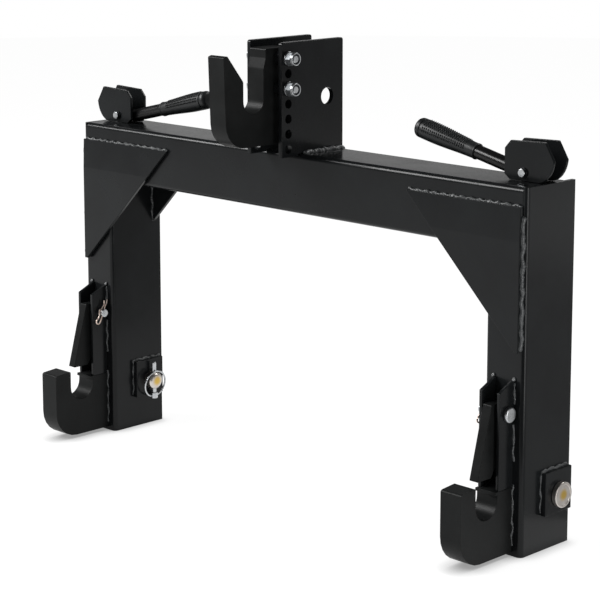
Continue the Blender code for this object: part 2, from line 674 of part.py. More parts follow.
def build_latch_dog(side):
    """Wedge-nosed catch over the hook's throat, with a slotted arm that the pull rod lifts."""
    arm = -DOG_SWING / 2
    reach = ARM_REACH / cos(arm)
    pivot = Vector((PIVOT_Y, PIVOT_Z))
    along = Vector((cos(arm), sin(arm)))
    across = Vector((-sin(arm), cos(arm))) * ARM_WIDTH / 2
    tip = pivot + along * (reach + ROD_PIN_RADIUS + SLOT_SLACK + ARM_END_WALL)
    nose = PIVOT_Y - DOG_NOSE_AHEAD
    nose_bottom = SHOULDER_TOP + DOG_NOSE_GAP
    head_top = PIVOT_Z + DOG_HEAD_RISE
    end_radius = ARM_WIDTH / 2 - 0.0005
    shape = outline((PIVOT_Y - DOG_HEAD_AHEAD, head_top, 0.002), (nose, nose_bottom, 0.001),
                    (nose + DOG_NOSE_DEPTH, nose_bottom, 0.002),
                    (*(pivot + along * ARM_ROOT - across), 0.006),
                    (*(tip - across), end_radius), (*(tip + across), end_radius),
                    (*(pivot + along * ARM_HEEL + across), 0.004),
                    (PIVOT_Y + DOG_HEAD_BEHIND, head_top, 0.003))
    half = DOG_PLATE / 2
    dog = mirrored(prism(shape, "X", HOOK_X - half, HOOK_X + half, edge=PLATE_EDGE), side)
    hinge = (side_sign(side) * HOOK_X, PIVOT_Y, PIVOT_Z)
    dog = add(f"{side}_latch_dog", dog, "black powder coat", hinge)
    bore = cross_bar(HOOK_X, PIVOT_Y, PIVOT_Z, DOG_PLATE, CLEVIS_PIN_RADIUS + RUNNING)
    slot = slot_outline(pivot + along * (ARM_REACH + reach) / 2, arm, reach - ARM_REACH,
                        ROD_PIN_RADIUS + SLOT_SLACK)
    slot = prism(slot, "X", HOOK_X - DOG_PLATE, HOOK_X + DOG_PLATE)
    boolean(dog, "DIFFERENCE", mirrored(joined(bore, slot), side), "pin_hole_and_slot")


def build_clevis_pin(side):
    """Headed on the outboard side, with a cross hole for its clip on the inboard side."""
    head = HOOK_X + HOOK_PLATE / 2 + SEAT
    tail = HOOK_X - HOOK_PLATE / 2 - CLEVIS_TAIL
    profile = headed_pin(head - tail, CLEVIS_PIN_RADIUS, CLEVIS_HEAD_RADIUS, CLEVIS_HEAD_HEIGHT, 0.002,
                         PIN_EDGE)
    pin = turned(profile, (tail, PIVOT_Y, PIVOT_Z), (1, 0, 0))
    pin = add(f"{side}_clevis_pin", mirrored(pin, side), "bright zinc")
    way = Vector((0, sin(CLIP_TILT), cos(CLIP_TILT))) * 2 * CLEVIS_PIN_RADIUS
    middle = Vector((CLIP_X, PIVOT_Y, PIVOT_Z))
    hole = bar(middle - way, middle + way, CLIP_WIRE_RADIUS + RUNNING)
    boolean(pin, "DIFFERENCE", mirrored(hole, side), "clip_hole")


def build_hairpin_clip(side):
    """One leg runs through the pin's cross hole, the other springs round the pin."""
    grip = CLEVIS_PIN_RADIUS + CLIP_WIRE_RADIUS + SEAT
    loop = CLIP_LOOP_RADIUS
    pinch = 2 * CLIP_WIRE_RADIUS + CLIP_PINCH_GAP
    path = [(0, CLIP_LEG_ABOVE), (0, 0), (0, -CLIP_LEG_BELOW)]
    for step in range(1, 7):
        turn = pi * step / 7
        path.append((loop - loop * cos(turn), -CLIP_LEG_BELOW - loop * sin(turn)))
    path += [(2 * loop, -CLIP_LEG_BELOW), (grip * cos(pi / 4), -CLIP_NECK_BELOW)]
    for step in range(-2, 3):
        turn = pi / 8 * step
        path.append((grip * cos(turn), grip * sin(turn)))
    path += [(pinch, CLIP_PINCH_ABOVE), (pinch + CLIP_TIP_FLARE, CLIP_TIP_ABOVE)]
    centre = Vector((side_sign(side) * CLIP_X, PIVOT_Y, PIVOT_Z))
    up = Vector((0, sin(CLIP_TILT), cos(CLIP_TILT)))
    forward = Vector((0, -cos(CLIP_TILT), sin(CLIP_TILT)))
    points = [centre + forward * ahead + up * height for ahead, height in path]
    wire(f"{side}_hairpin_clip", points, CLIP_WIRE_RADIUS, "copper flashed wire", centre)


# Lower link pins

def build_pin_bosses(side):
    """Square doublers welded to both faces of the leg round the lower link pin."""
    front = LINK_PIN_Y - BOSS_AHEAD
    bottom = LINK_PIN_HEIGHT - BOSS_BELOW
    shape = rectangle(front, bottom, front + BOSS_DEPTH, bottom + BOSS_HEIGHT)
    for name, low in (("inner", LEG_INNER - SEAT - BOSS_PLATE), ("outer", LEG_OUTER + SEAT)):
        plate = mirrored(prism(shape, "X", low, low + BOSS_PLATE, edge=PLATE_EDGE), side)
        plate = add(f"{side}_{name}_pin_boss", plate, "black powder coat")
        bore = cross_bar(HOOK_X, LINK_PIN_Y, LINK_PIN_HEIGHT, LEG_WIDTH, LINK_PIN_RADIUS + RUNNING)
        boolean(plate, "DIFFERENCE", mirrored(bore, side), "pin_bore")


def build_link_pin(side):
    head = LEG_OUTER + SEAT + BOSS_PLATE + SEAT
    profile = headed_pin(head - LINK_PIN_END, LINK_PIN_RADIUS, LINK_HEAD_RADIUS, LINK_HEAD_HEIGHT, 0.001,
                         LINK_PIN_CHAMFER)
    pin = turned(profile, (LINK_PIN_END, LINK_PIN_Y, LINK_PIN_HEIGHT), (1, 0, 0))
    pin = add(f"{side}_lower_link_pin", mirrored(pin, side), "bright zinc")
    reach = 2 * LINK_PIN_RADIUS
    hole = bar((LYNCH_X, LINK_PIN_Y, LINK_PIN_HEIGHT - reach), (LYNCH_X, LINK_PIN_Y, LINK_PIN_HEIGHT + reach),
               LYNCH_RADIUS + RUNNING)
    boolean(pin, "DIFFERENCE", mirrored(hole, side), "lynch_hole")


def build_lynch_pin(side):
    """Tip up through the link pin, its cross-drilled head below."""
    half = LYNCH_HEAD_HEIGHT / 2
    tip = LINK_PIN_HEIGHT + LYNCH_TIP_ABOVE - RING_Z
    profile = [(-half, 0), (-half, LYNCH_HEAD_RADIUS - PIN_EDGE), (-half + PIN_EDGE, LYNCH_HEAD_RADIUS),
               (half, LYNCH_HEAD_RADIUS), (half, LYNCH_RADIUS), (tip - PIN_EDGE, LYNCH_RADIUS),
               (tip, LYNCH_RADIUS - PIN_EDGE), (tip, 0)]
    pin = turned(profile, (LYNCH_X, LINK_PIN_Y, RING_Z), (0, 0, 1))
    pin = add(f"{side}_lynch_pin", mirrored(pin, side), "bright zinc")
    reach = 2 * LYNCH_HEAD_RADIUS
    hole = bar((LYNCH_X, LINK_PIN_Y - reach, RING_Z), (LYNCH_X, LINK_PIN_Y + reach, RING_Z),
               RING_WIRE_RADIUS + RUNNING)
    boolean(pin, "DIFFERENCE", mirrored(hole, side), "ring_hole")


def build_lynch_ring(side):
    """Wire hoop whose two ends turn in the lynch pin's head; it leans outside the pin's shaft."""
    radius = LINK_PIN_RADIUS + RING_ROOM
    neck = LYNCH_HEAD_RADIUS + RING_WIRE_RADIUS + RING_NECK_GAP
    lift = sqrt(radius ** 2 - neck ** 2)
    start = atan2(-lift, neck)
    sweep = pi - 2 * start
    path = [(RING_WIRE_RADIUS, 0), (neck - RING_NECK_GAP, 0)]
    for step in range(RING_STEPS + 1):
        turn = start + sweep * step / RING_STEPS
        path.append((radius * cos(turn), lift + radius * sin(turn)))
    path += [(RING_NECK_GAP - neck, 0), (-RING_WIRE_RADIUS, 0)]
    lean = atan2(LYNCH_RADIUS + RING_WIRE_RADIUS + SEAT, lift + radius)
    sign = side_sign(side)
    centre = Vector((sign * LYNCH_X, LINK_PIN_Y, RING_Z))
    points = []
    for across, height in path:
        points.append(centre + Vector((-sign * height * sin(lean), across, height * cos(lean))))
    wire(f"{side}_lynch_ring", points, RING_WIRE_RADIUS, "bright zinc", centre)


# Cam levers and pull rods

def lever_pivot(side):
    return (side_sign(side) * LEVER_X, LEVER_Y, CAM_PIN_Z)


def cam_shape():
    """Cam plate about its pin. From its flat foot to its nose the pin rises evenly with the angle."""
    points = []
    for step in range(CAM_STEPS + 1):
        turn = CAM_NOSE_ANGLE * step / CAM_STEPS
        height = CAM_PIN_RISE + CAM_RISE_PER_RADIAN * turn
        points.append((height * sin(turn) + CAM_RISE_PER_RADIAN * cos(turn),
                       CAM_RISE_PER_RADIAN * sin(turn) - height * cos(turn)))
    radius = CAM_CORNER_RADIUS
    rest = outline((*CAM_CREST, radius), (*CAM_SHOULDER, radius), (*CAM_BACK_TOP, radius),
                   (*CAM_BACK_BOTTOM, radius), (CAM_HEEL, -CAM_PIN_RISE, radius), points[0], points[-1])
    return points + [tuple(point) for point in rest[:-2]]


def build_cam_plates(side):
    shape = [(LEVER_X + out, CAM_PIN_Z + up) for out, up in cam_shape()]
    for name, low in (("front", LEVER_Y - CAM_GAP - CAM_PLATE), ("rear", LEVER_Y + CAM_GAP)):
        plate = mirrored(prism(shape, "Y", low, low + CAM_PLATE, edge=PLATE_EDGE), side)
        plate = add(f"{side}_{name}_cam_plate", plate, "black powder coat", lever_pivot(side))
        bore = bar((LEVER_X, low - CAM_PLATE, CAM_PIN_Z), (LEVER_X, low + 2 * CAM_PLATE, CAM_PIN_Z),
                   CAM_PIN_RADIUS + RUNNING)
        boolean(plate, "DIFFERENCE", mirrored(bore, side), "pin_hole")


def lever_point(distance):
    """A point on the right lever's axis, that far inboard of the cam pin along the lever."""
    along = Vector((-cos(LEVER_SLOPE), 0, sin(LEVER_SLOPE)))
    below = Vector((-sin(LEVER_SLOPE), 0, -cos(LEVER_SLOPE)))
    return Vector((LEVER_X, LEVER_ROD_Y, CAM_PIN_Z)) + below * LEVER_DROP + along * distance


def build_lever(side):
    start = EYE_RADIUS + LEVER_FROM_EYE
    end = start + LEVER_LENGTH
    rod = bar(lever_point(start), lever_point(end), LEVER_RADIUS, chamfer=PIN_EDGE)
    add(f"{side}_lever_rod", mirrored(rod, side), "black powder coat", lever_pivot(side))
    depth = end + SEAT - GRIP_FROM_PIN
    length = depth + GRIP_END_WALL
    bore = LEVER_RADIUS + SEAT
    palm = GRIP_PALM_RADIUS
    step = palm - GRIP_WAIST_RADIUS
    profile = [(depth, 0), (depth, bore), (0, bore), (0, GRIP_COLLAR_RADIUS),
               (GRIP_COLLAR_LENGTH, GRIP_COLLAR_RADIUS), (GRIP_COLLAR_LENGTH + PIN_EDGE, GRIP_WAIST_RADIUS),
               (0.3 * length, palm - 0.65 * step), (0.55 * length, palm - 0.2 * step), (0.75 * length, palm),
               (length - 0.45 * palm, palm), (length - 0.15 * palm, 0.86 * palm), (length, 0.5 * palm),
               (length, 0)]
    along = lever_point(end) - lever_point(start)
    grip = turned(profile, lever_point(GRIP_FROM_PIN), along)
    add(f"{side}_lever_grip", mirrored(grip, side), "black rubber", lever_pivot(side))


def build_cam_pin(side):
    """Headed at the back, held by a spring ring at the front."""
    face = CAM_GAP + CAM_PLATE + SEAT
    profile = headed_pin(2 * face + CAM_PIN_END, CAM_PIN_RADIUS, CAM_PIN_HEAD_RADIUS, PIN_HEAD_HEIGHT,
                         PIN_EDGE, PIN_EDGE)
    pin = turned(profile, (LEVER_X, LEVER_Y - face - CAM_PIN_END, CAM_PIN_Z), (0, 1, 0))
    add(f"{side}_cam_pin", mirrored(pin, side), "bright zinc", lever_pivot(side))
    seat = (LEVER_X, LEVER_Y - face - PIN_RING_THICKNESS, CAM_PIN_Z)
    keeper = ring(CAM_PIN_RADIUS + SEAT, PIN_RING_RADIUS, PIN_RING_THICKNESS, seat, (0, 1, 0))
    add(f"{side}_cam_pin_ring", mirrored(keeper, side), "black oxide steel", lever_pivot(side))


def build_pull_rod(side):
    """Round rod with an eye on the cam pin and, a little outboard, a fork over the dog's arm."""
    line = LEVER_X
    x = HOOK_X
    crown = ROD_PIN_Z + FORK_CROWN
    top = crown + FORK_CROWN_HEIGHT
    foot = ROD_PIN_Z - FORK_FOOT
    rod = bar((line, LEVER_Y, crown + FORK_CROWN_HEIGHT / 2), (line, LEVER_Y, CAM_PIN_Z - EYE_RADIUS / 2),
              PULL_ROD_RADIUS)
    rod = add(f"{side}_pull_rod", mirrored(rod, side), "black oxide steel", lever_pivot(side))
    half = CAM_GAP - RUNNING
    eye = bar((line, LEVER_Y - half, CAM_PIN_Z), (line, LEVER_Y + half, CAM_PIN_Z), EYE_RADIUS)
    boolean(rod, "UNION", mirrored(eye, side), "eye")
    inner = DOG_PLATE / 2 + FORK_PLAY
    outer = inner + FORK_CHEEK
    bend = FORK_CORNER_RADIUS
    fork = outline((x - outer, foot, bend), (x - inner, foot), (x - inner, crown, bend),
                   (x + inner, crown, bend), (x + inner, foot), (x + outer, foot, bend),
                   (x + outer, top, bend), (x - outer, top, bend))
    fork = prism(fork, "Y", LEVER_Y - FORK_DEPTH / 2, LEVER_Y + FORK_DEPTH / 2)
    boolean(rod, "UNION", mirrored(fork, side), "fork")
    eye_bore = bar((line, LEVER_Y - 2 * half, CAM_PIN_Z), (line, LEVER_Y + 2 * half, CAM_PIN_Z),
                   CAM_PIN_RADIUS + RUNNING)
    pin_bore = cross_bar(x, LEVER_Y, ROD_PIN_Z, 2 * outer, ROD_PIN_RADIUS + RUNNING)
    boolean(rod, "DIFFERENCE", mirrored(joined(eye_bore, pin_bore), side), "bores")
    tail = x - outer - SEAT - PIN_HEAD_HEIGHT
    profile = headed_pin(x + outer + SEAT - tail, ROD_PIN_RADIUS, ROD_PIN_RADIUS + PIN_HEAD_RIM,
                         PIN_HEAD_HEIGHT, PIN_EDGE, PIN_EDGE)
    pin = turned(profile, (tail, LEVER_Y, ROD_PIN_Z), (1, 0, 0))
    add(f"{side}_pull_rod_pin", mirrored(pin, side), "bright zinc", lever_pivot(side))


def main():
    clear_scene()
    build_beam()
    build_top_hook()
    build_top_hook_fixings()
    for side in ("left", "right"):
        build_leg(side)
        build_front_gusset(side)
        build_rear_gusset(side)
        build_mast_plate(side)
        build_lower_hook(side)
        build_latch_cheeks(side)
        build_latch_dog(side)
        build_clevis_pin(side)
        build_hairpin_clip(side)
        build_pin_bosses(side)
        build_link_pin(side)
        build_lynch_pin(side)
        build_lynch_ring(side)
        build_cam_plates(side)
        build_lever(side)
        build_cam_pin(side)
        build_pull_rod(side)


main()
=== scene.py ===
"""Studio scene of a three point quick hitch: coated steel frame, plated fixings and rubber lever grips.

Metres, +Z up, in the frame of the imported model. Places come from the model's own nodes. Pieces of the
right side are shaped at +X and mirrored for the left side.
"""
import json
import random
from math import ceil, cos, pi, radians, sin, sqrt

import bmesh
import bpy
from mathutils import Matrix, Vector

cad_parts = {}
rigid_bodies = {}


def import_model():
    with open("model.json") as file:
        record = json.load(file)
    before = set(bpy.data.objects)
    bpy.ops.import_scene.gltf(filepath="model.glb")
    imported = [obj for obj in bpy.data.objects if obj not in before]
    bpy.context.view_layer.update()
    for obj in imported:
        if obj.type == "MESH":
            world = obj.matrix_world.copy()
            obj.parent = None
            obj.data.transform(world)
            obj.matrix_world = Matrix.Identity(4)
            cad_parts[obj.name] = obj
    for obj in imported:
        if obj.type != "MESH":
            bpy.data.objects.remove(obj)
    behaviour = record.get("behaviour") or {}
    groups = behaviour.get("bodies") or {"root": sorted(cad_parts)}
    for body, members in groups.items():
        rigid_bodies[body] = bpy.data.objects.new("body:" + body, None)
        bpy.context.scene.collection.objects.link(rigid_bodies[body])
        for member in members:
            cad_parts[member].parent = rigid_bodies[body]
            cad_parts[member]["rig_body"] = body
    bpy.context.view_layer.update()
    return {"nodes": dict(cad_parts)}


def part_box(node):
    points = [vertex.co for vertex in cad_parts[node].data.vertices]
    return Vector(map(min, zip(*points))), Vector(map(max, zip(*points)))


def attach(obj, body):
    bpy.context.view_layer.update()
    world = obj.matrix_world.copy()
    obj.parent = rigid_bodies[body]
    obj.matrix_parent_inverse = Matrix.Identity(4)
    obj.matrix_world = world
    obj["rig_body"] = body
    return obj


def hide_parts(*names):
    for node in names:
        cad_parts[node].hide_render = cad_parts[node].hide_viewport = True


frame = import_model()

# Camera: its place, and how the picture is framed
CAMERA_PLACE = (1.643, -1.61825, 0.758)
CAMERA_YAW = radians(44.70)
CAMERA_PITCH = radians(9.40)
CAMERA_LENS = 118.6
CAMERA_SENSOR = 36.0
CAMERA_SHIFT_DOWN = 0.2

# Studio, where a level of 1 shows white. A card has a name, centre, turn, size, whether it stands, and its
# level. A lamp has a name, place, aim, size and watts.
WORLD_LIGHT = 0.42
FLOOR_RADIUS = 6.0
FLOOR_PAPER = 0.12
FLOOR_GLOW = 0.93
FLOOR_BOUNCE = 0.60
# The floor's painted shadow close under the hitch: its reach, the band of openness it spans, its darkest
# level and its samples
SHADE_REACH = 0.024
SHADE_BAND = (0.25, 0.95)
SHADE_LEVEL = 0.32
SHADE_SAMPLES = 16
CEILING_RADIUS = 3.0
CEILING_FOOT = 0.01
CEILING_DARK = 0.05
CEILING_LIGHT = 0.62
CEILING_BAND = (0.22, 0.45)
CEILING_BACK = (-0.7, 0.7, 0)
CEILING_BACK_BAND = (-0.15, 0.35)
CEILING_FRONT_SHARE = 0.45
CARDS = (("black card", (1.02, -1.12, 1.1), radians(45), (1.3, 2.2), True, 0.03),
         ("black mat", (1.15, -1.04, 0.0015), radians(37), (1.1, 2.0), False, 0.03),
         ("grey mat", (0.905, 0.71, 0.0015), radians(141), (0.9, 1.5), False, 0.5))
LAMPS = (("key", (-1.55, -1.45, 1.80), (0, 0, 0.35), (1.60, 0.95), 76),
         ("strip", (0.81, -0.09, 0.26), (0.36, 0.02, 0.26), (0.12, 0.5), 1.1),
         ("rim", (0.5, 1.7, 2.1), (0, 0, 0.4), (1.2, 0.6), 18))

# Finishes: the shares of the noise over which the colour and the gloss change
PATCH_BAND = (0.32, 0.68)
GLOSS_BAND = (0.7, 1.3)

# Edges and curves: how far edges are rounded, the turns past which they count as sharp, the steps of round
# shapes, and how close points are merged
CUT_EDGE = 0.0007
BORED_EDGE = 0.0003
SHARP_TURN = radians(60)
SMOOTH_TURN = radians(52)
FOLD_TURN = radians(1)
FLAT_TURN = radians(0.4)
FIXING_TURN = radians(40)
LINK_PIN_TURN = radians(30)
CLEVIS_PIN_TURN = radians(50)
TURNED_STEPS = 48
ROD_STEPS = 40
PIN_STEPS = 32
CRATER_STEPS = 14
EDGE_STEPS = 3
WIRE_STEPS = 3
CORNER_ROUNDS = 3
CORNER_CUT = 0.25
NODE_DOUBLES = 2e-6
WIRE_DOUBLES = 1e-6
SHAPE_DOUBLES = 1e-7

# The gap that the model keeps between pieces that touch
SEAT_GAP = 0.0003

# Weld beads: their ripples, and each side's first seed for how the ripples wander
WELD_SEEDS = (("left", 11), ("right", 41))
RIPPLE_PITCH = 0.0019
RIPPLE_THIN = 0.72
RIPPLE_LEAN = radians(24)
RIPPLE_LEAN_JITTER = 0.25
RIPPLE_JITTER = 0.15
BEAD_WANDER = 0.0007
WANDER_STEPS = (0.47, 0.71, 0.93)
BEAD_VOXEL = 0.0005
CRATER_RIM = 0.42

# Front gusset seams: a strand starts near the gusset's inner tip and ends near its outer edge, each given as
# how far in, how far ahead of the leg and how far above the gusset's top, and then comes the strand's radius.
# A crater is given as how far under the top, and its radius.
AHEAD = (0, -1, 0)
GUSSET_STRANDS = (((0.002, 0.0012, 0.0006), (0.001, 0.0012, 0.0004), 0.0017),
                  ((0.009, 0.0018, -0.0008), (0.006, 0.0016, -0.0012), 0.0015))
GUSSET_BEAD = 0.0030
GUSSET_BEAD_OUT = 0.0002
GUSSET_BEAD_AHEAD = 0.0008
GUSSET_BEAD_TOP = 0.012
GUSSET_BEAD_FOOT = 0.003
GUSSET_CRATER_AHEAD = 0.0022
GUSSET_CRATERS = ((0.014, 0.0024), (0.030, 0.0026))

# Latch cheek and lower hook seams: where a seam starts and ends, from the cheek's or hook's top down or foot
# up. A crater is given as how far ahead, how far above the cheek's top, how much it faces up, and its radius.
CHEEK_BEAD = 0.0019
CHEEK_TOP_SEAM = (0.004, 0.026)
CHEEK_FOOT_SEAM = (0.070, 0.030)
CHEEK_CRATERS = ((0.0012, 0.0010, 0.6, 0.0024), (0.0008, -0.0045, 0.3, 0.0021))
HOOK_BEAD = 0.0017
HOOK_SEAM = (0.010, 0.008)

# Pin boss seams
BOSS_TOP_BEAD = 0.0025
BOSS_TOP_INSET = 0.001
BOSS_SIDE_BEAD = 0.0016
BOSS_SIDE_INSET = 0.004

# Mast plate seams
MAST_BEAD = 0.0040
MAST_BEAD_OUT = 0.0008
MAST_BEAD_UP = 0.0002
MAST_SEAM_START = 0.012
MAST_SEAM_INSET = 0.001
MAST_BACK_BEAD = 0.0026
MAST_CRATER = 0.0030
MAST_CRATER_OUT = 0.0022
MAST_CRATER_AHEAD = 0.003
MAST_CRATER_UP = 0.0010
MAST_CRATER_FACING = (0.5, -0.4, 1)

# Rear gusset seams
REAR_LEG_BEAD = 0.0020
REAR_BEAM_BEAD = 0.0022
REAR_TIP_INSET = 0.003
REAR_CORNER_INSET = 0.002

# Top hook bolts, nuts and washers; the nylon insert is sunk a little less at its rim than at its bore
BOLT_RADIUS = 0.005
BOLT_SUNK = 0.0006
BOLT_TIP_LENGTH = 0.0013
BOLT_TIP_DROP = 0.0012
BOLT_HOLE_GAP = 0.0003
HEAD_RADIUS = 0.0080
HEAD_HEIGHT = 0.0030
HEAD_CHAMFER = 0.0004
HEAD_RIM = 0.0008
THREADED = 0.012
THREAD_RUNOUT = 0.0020
THREAD_PITCH = 0.0015
THREAD_DEPTH = 0.0007
HEX_FLATS = 0.0152
HEX_CHAMFER = 0.0007
NUT_HEX_SHARE = 0.80
NUT_COLLAR_RADIUS = 0.0075
NUT_COLLAR_ROUND = 0.0004
NUT_COLLAR_FOOT = 0.0005
NUT_COLLAR_FLARE = 0.0004
NYLON_RADIUS = 0.0061
NYLON_LIP = 0.0002
NYLON_LIP_DEPTH = 0.0003
NYLON_FIT = 0.0001
NYLON_SUNK = (0.0009, 0.0010)
NYLON_BORE_GAP = 0.0002
WASHER_RADIUS = 0.0084
RING_ROUND = 0.0003

# Lower link pins
LINK_PIN_RADIUS = 0.011
LINK_TAIL_FACE = 0.0070
LINK_TAIL_STEP = 0.0006
LINK_TAIL_DROP = 0.0024
LINK_TAIL_LENGTH = 0.003
LINK_HEAD_CHAMFER = 0.0006
LINK_HEAD_ROUND = 0.0010
LINK_RIM = 0.0026
LINK_DISH_START = 0.0031
LINK_DISH_DEPTH = 0.0006
LINK_HUB_SHARES = (0.42, 0.38)
LINK_HUB_SUNK = 0.0003
LINK_STAIN_REACH = 0.0026
LINK_STAIN_FADE = 0.0060

# Clevis pins and their hairpin clips. A clip's points are how far ahead of the straight leg and how far above
# the pin's axis they lie, and its wire starts at the top of the straight leg.
CLEVIS_RADIUS = 0.00525
CLEVIS_HEAD_HEIGHT = 0.005
CLEVIS_TAIL_ROUND = 0.0012
CLEVIS_HEAD_CHAMFER = 0.0004
CLEVIS_HEAD_ROUND = 0.0020
CLIP_TILT = radians(23.7)
CLIP_WIRE = 0.00095
CLIP_FIT = 0.0002
CLIP_PLACE = 0.0045
CLIP_LOOP = 0.0033
CLIP_LOOP_STEPS = 7
CLIP_LOOP_TOP = -0.013
CLIP_STRAIGHT_LEG = ((0.0002, 0.018), (-0.0004, 0.0135), (0.0002, 0.009), (0, 0.006), (0, -0.006),
                     (-0.0004, -0.0130))
CLIP_RETURN_HEIGHT = -0.0125
CLIP_KNEE = (0.72, -0.0085)
CLIP_WAVE_STEP = pi / 8
CLIP_TAIL = ((0.0026, 0.0105), (0.0045, 0.0155))

# Lever rods
LEVER_SLOPE = radians(13.1)
LEVER_DROP = 0.0042
LEVER_RADIUS = 0.008
LEVER_START = 0.016
LEVER_END = 0.159
LEVER_ROUND = 0.0010

# Lever grips, and the slanted studs of their pattern
GRIP_START = 0.0765
GRIP_LENGTH = 0.0888
GRIP_BORE_DEPTH = 0.0828
GRIP_BORE_GAP = 0.0002
GRIP_PALM = 0.0117
GRIP_PALM_SHARE = 0.75
GRIP_WAIST = 0.0090
GRIP_LIP = 0.0094
GRIP_LIP_LENGTH = 0.0024
GRIP_LIP_ROUND = 0.0007
GRIP_NECK_STEP = 0.0004
GRIP_RING_PITCH = 0.0045
GRIP_CAP = 0.0095
GRIP_GROOVE_DEPTH = 0.0009
GRIP_GROOVE = (0.0003, 0.0012)
GRIP_CAP_ROUND = 0.0005
GRIP_CAP_START = 0.0020
GRIP_CAP_DROP = 0.0006
GRIP_END_ROUND = 0.0052
GRIP_END_DROP = 0.0053
STUD_START = 0.0150
STUD_END_GAP = 0.0020
STUD_PITCH = 0.0030
STUD_COLUMNS = 11
STUD_PANEL_HALF = radians(86)
STUD_SLANT = radians(38)
STUD_HALF_LENGTH = 0.0014
STUD_HALF_WIDTH = 0.0008
STUD_HEIGHT = 0.0011
STUD_SUNK = 0.0001

# Cam pins and their spring rings
CAM_PIN_RADIUS = 0.00425
CAM_PIN_PEEN = 0.0004
CAM_PIN_PEEN_ROUND = 0.0006
CAM_PIN_PEEN_END = (0.0019, 0.0023)
CAM_PIN_HEAD = 0.002
CAM_PIN_HEAD_ROUND = 0.0008
CAM_RING_BORE = 0.0044

# Lynch pins
LYNCH_RADIUS = 0.003
LYNCH_HEAD_HEIGHT = 0.008
LYNCH_HEAD_ROUNDS = (0.0010, 0.0008)
LYNCH_TIP = (0.0015, 0.0004)
LYNCH_TIP_DROP = 0.0008

# Nodes that keep their own shape: each side's part, its finish and how far its edges are rounded
SHAPED_PARTS = (("leg", "coat", CUT_EDGE), ("rear_gusset", "coat", CUT_EDGE),
                ("mast_plate", "coat", BORED_EDGE), ("lower_hook", "cut", BORED_EDGE),
                ("inner_latch_cheek", "coat", BORED_EDGE),
                ("outer_latch_cheek", "coat", BORED_EDGE), ("latch_dog", "cut", BORED_EDGE),
                ("inner_pin_boss", "coat", BORED_EDGE), ("outer_pin_boss", "coat", BORED_EDGE),
                ("front_cam_plate", "coat", BORED_EDGE), ("rear_cam_plate", "coat", BORED_EDGE),
                ("pull_rod", "oxide", BORED_EDGE), ("pull_rod_pin", "zinc", BORED_EDGE))


def srgb(code):
    """Linear colour of an sRGB hex code such as #1a2b3c."""
    linear = []
    for start in (1, 3, 5):
        share = int(code[start:start + 2], 16) / 255
        linear.append(share / 12.92 if share <= 0.04045 else ((share + 0.055) / 1.055) ** 2.4)
    return (*linear, 1.0)


def add_node(tree, kind, inputs=None, **settings):
    """Adds a shader node; inputs maps a socket to a value or to another node's output."""
    made = tree.nodes.new(kind)
    for name, value in settings.items():
        setattr(made, name, value)
    for socket, value in (inputs or {}).items():
        if isinstance(value, bpy.types.NodeSocket):
            tree.links.new(value, made.inputs[socket])
        else:
            made.inputs[socket].default_value = value
    return made


# Materials

def surface(name, colours, patch, roughness, grain, relief, metallic=0.0, **constants):
    """A finish whose colour and gloss drift over patches, with a fine relief.

    patch and grain are sizes in millimetres, relief is the height of the grain in metres.
    """
    material = bpy.data.materials.new(name)
    material.use_nodes = True
    tree = material.node_tree
    shader = tree.nodes["Principled BSDF"]
    spot = add_node(tree, "ShaderNodeTexCoord").outputs["Object"]
    drift = add_node(tree, "ShaderNodeTexNoise", {"Vector": spot, "Scale": 1000 / patch, "Detail": 4.0,
                                                  "Roughness": 0.55})
    spread = add_node(tree, "ShaderNodeMapRange", {"Value": drift.outputs["Fac"],
                                                   "From Min": PATCH_BAND[0],
                                                   "From Max": PATCH_BAND[1]})
    colour = add_node(tree, "ShaderNodeMix", {0: spread.outputs["Result"], 6: srgb(colours[0]),
                                              7: srgb(colours[1])}, data_type="RGBA")
    fine = add_node(tree, "ShaderNodeTexNoise", {"Vector": spot, "Scale": 1000 / grain, "Detail": 3.0,
                                                 "Roughness": 0.5})
    mixed = add_node(tree, "ShaderNodeMath", {0: drift.outputs["Fac"], 1: fine.outputs["Fac"]},
                     operation="ADD")
    gloss = add_node(tree, "ShaderNodeMapRange", {"Value": mixed.outputs["Value"],
                                                  "From Min": GLOSS_BAND[0], "From Max": GLOSS_BAND[1],
                                                  "To Min": roughness[0], "To Max": roughness[1]})
    bump = add_node(tree, "ShaderNodeBump", {"Height": fine.outputs["Fac"], "Distance": relief,
                                             "Strength": 1.0})
    tree.links.new(colour.outputs[2], shader.inputs["Base Color"])
    tree.links.new(gloss.outputs["Result"], shader.inputs["Roughness"])
    tree.links.new(bump.outputs["Normal"], shader.inputs["Normal"])
    shader.inputs["Metallic"].default_value = metallic
    for socket, value in constants.items():
        shader.inputs[socket.replace("_", " ")].default_value = value
    return material


def stained(material, axis_y, axis_z, colour, reach, fade):
    """Tints the middle of a pin's end faces: reach and fade are distances from its axis, in metres."""
    tree = material.node_tree
    shader = tree.nodes["Principled BSDF"]
    spot = add_node(tree, "ShaderNodeTexCoord").outputs["Object"]
    centred = add_node(tree, "ShaderNodeMapping", {"Vector": spot, "Location": (0, -axis_y, -axis_z),
                                                   "Scale": (0, 1, 1)})
    away = add_node(tree, "ShaderNodeVectorMath", {0: centred.outputs["Vector"]}, operation="LENGTH")
    share = add_node(tree, "ShaderNodeMapRange", {"Value": away.outputs["Value"], "From Min": reach,
                                                  "From Max": reach + fade, "To Min": 1.0, "To Max": 0.0},
                     interpolation_type="SMOOTHSTEP")
    plain = shader.inputs["Base Color"].links[0].from_socket
    tinted = add_node(tree, "ShaderNodeMix", {0: share.outputs["Result"], 6: plain, 7: srgb(colour)},
                      data_type="RGBA")
    tree.links.new(tinted.outputs[2], shader.inputs["Base Color"])
    return material


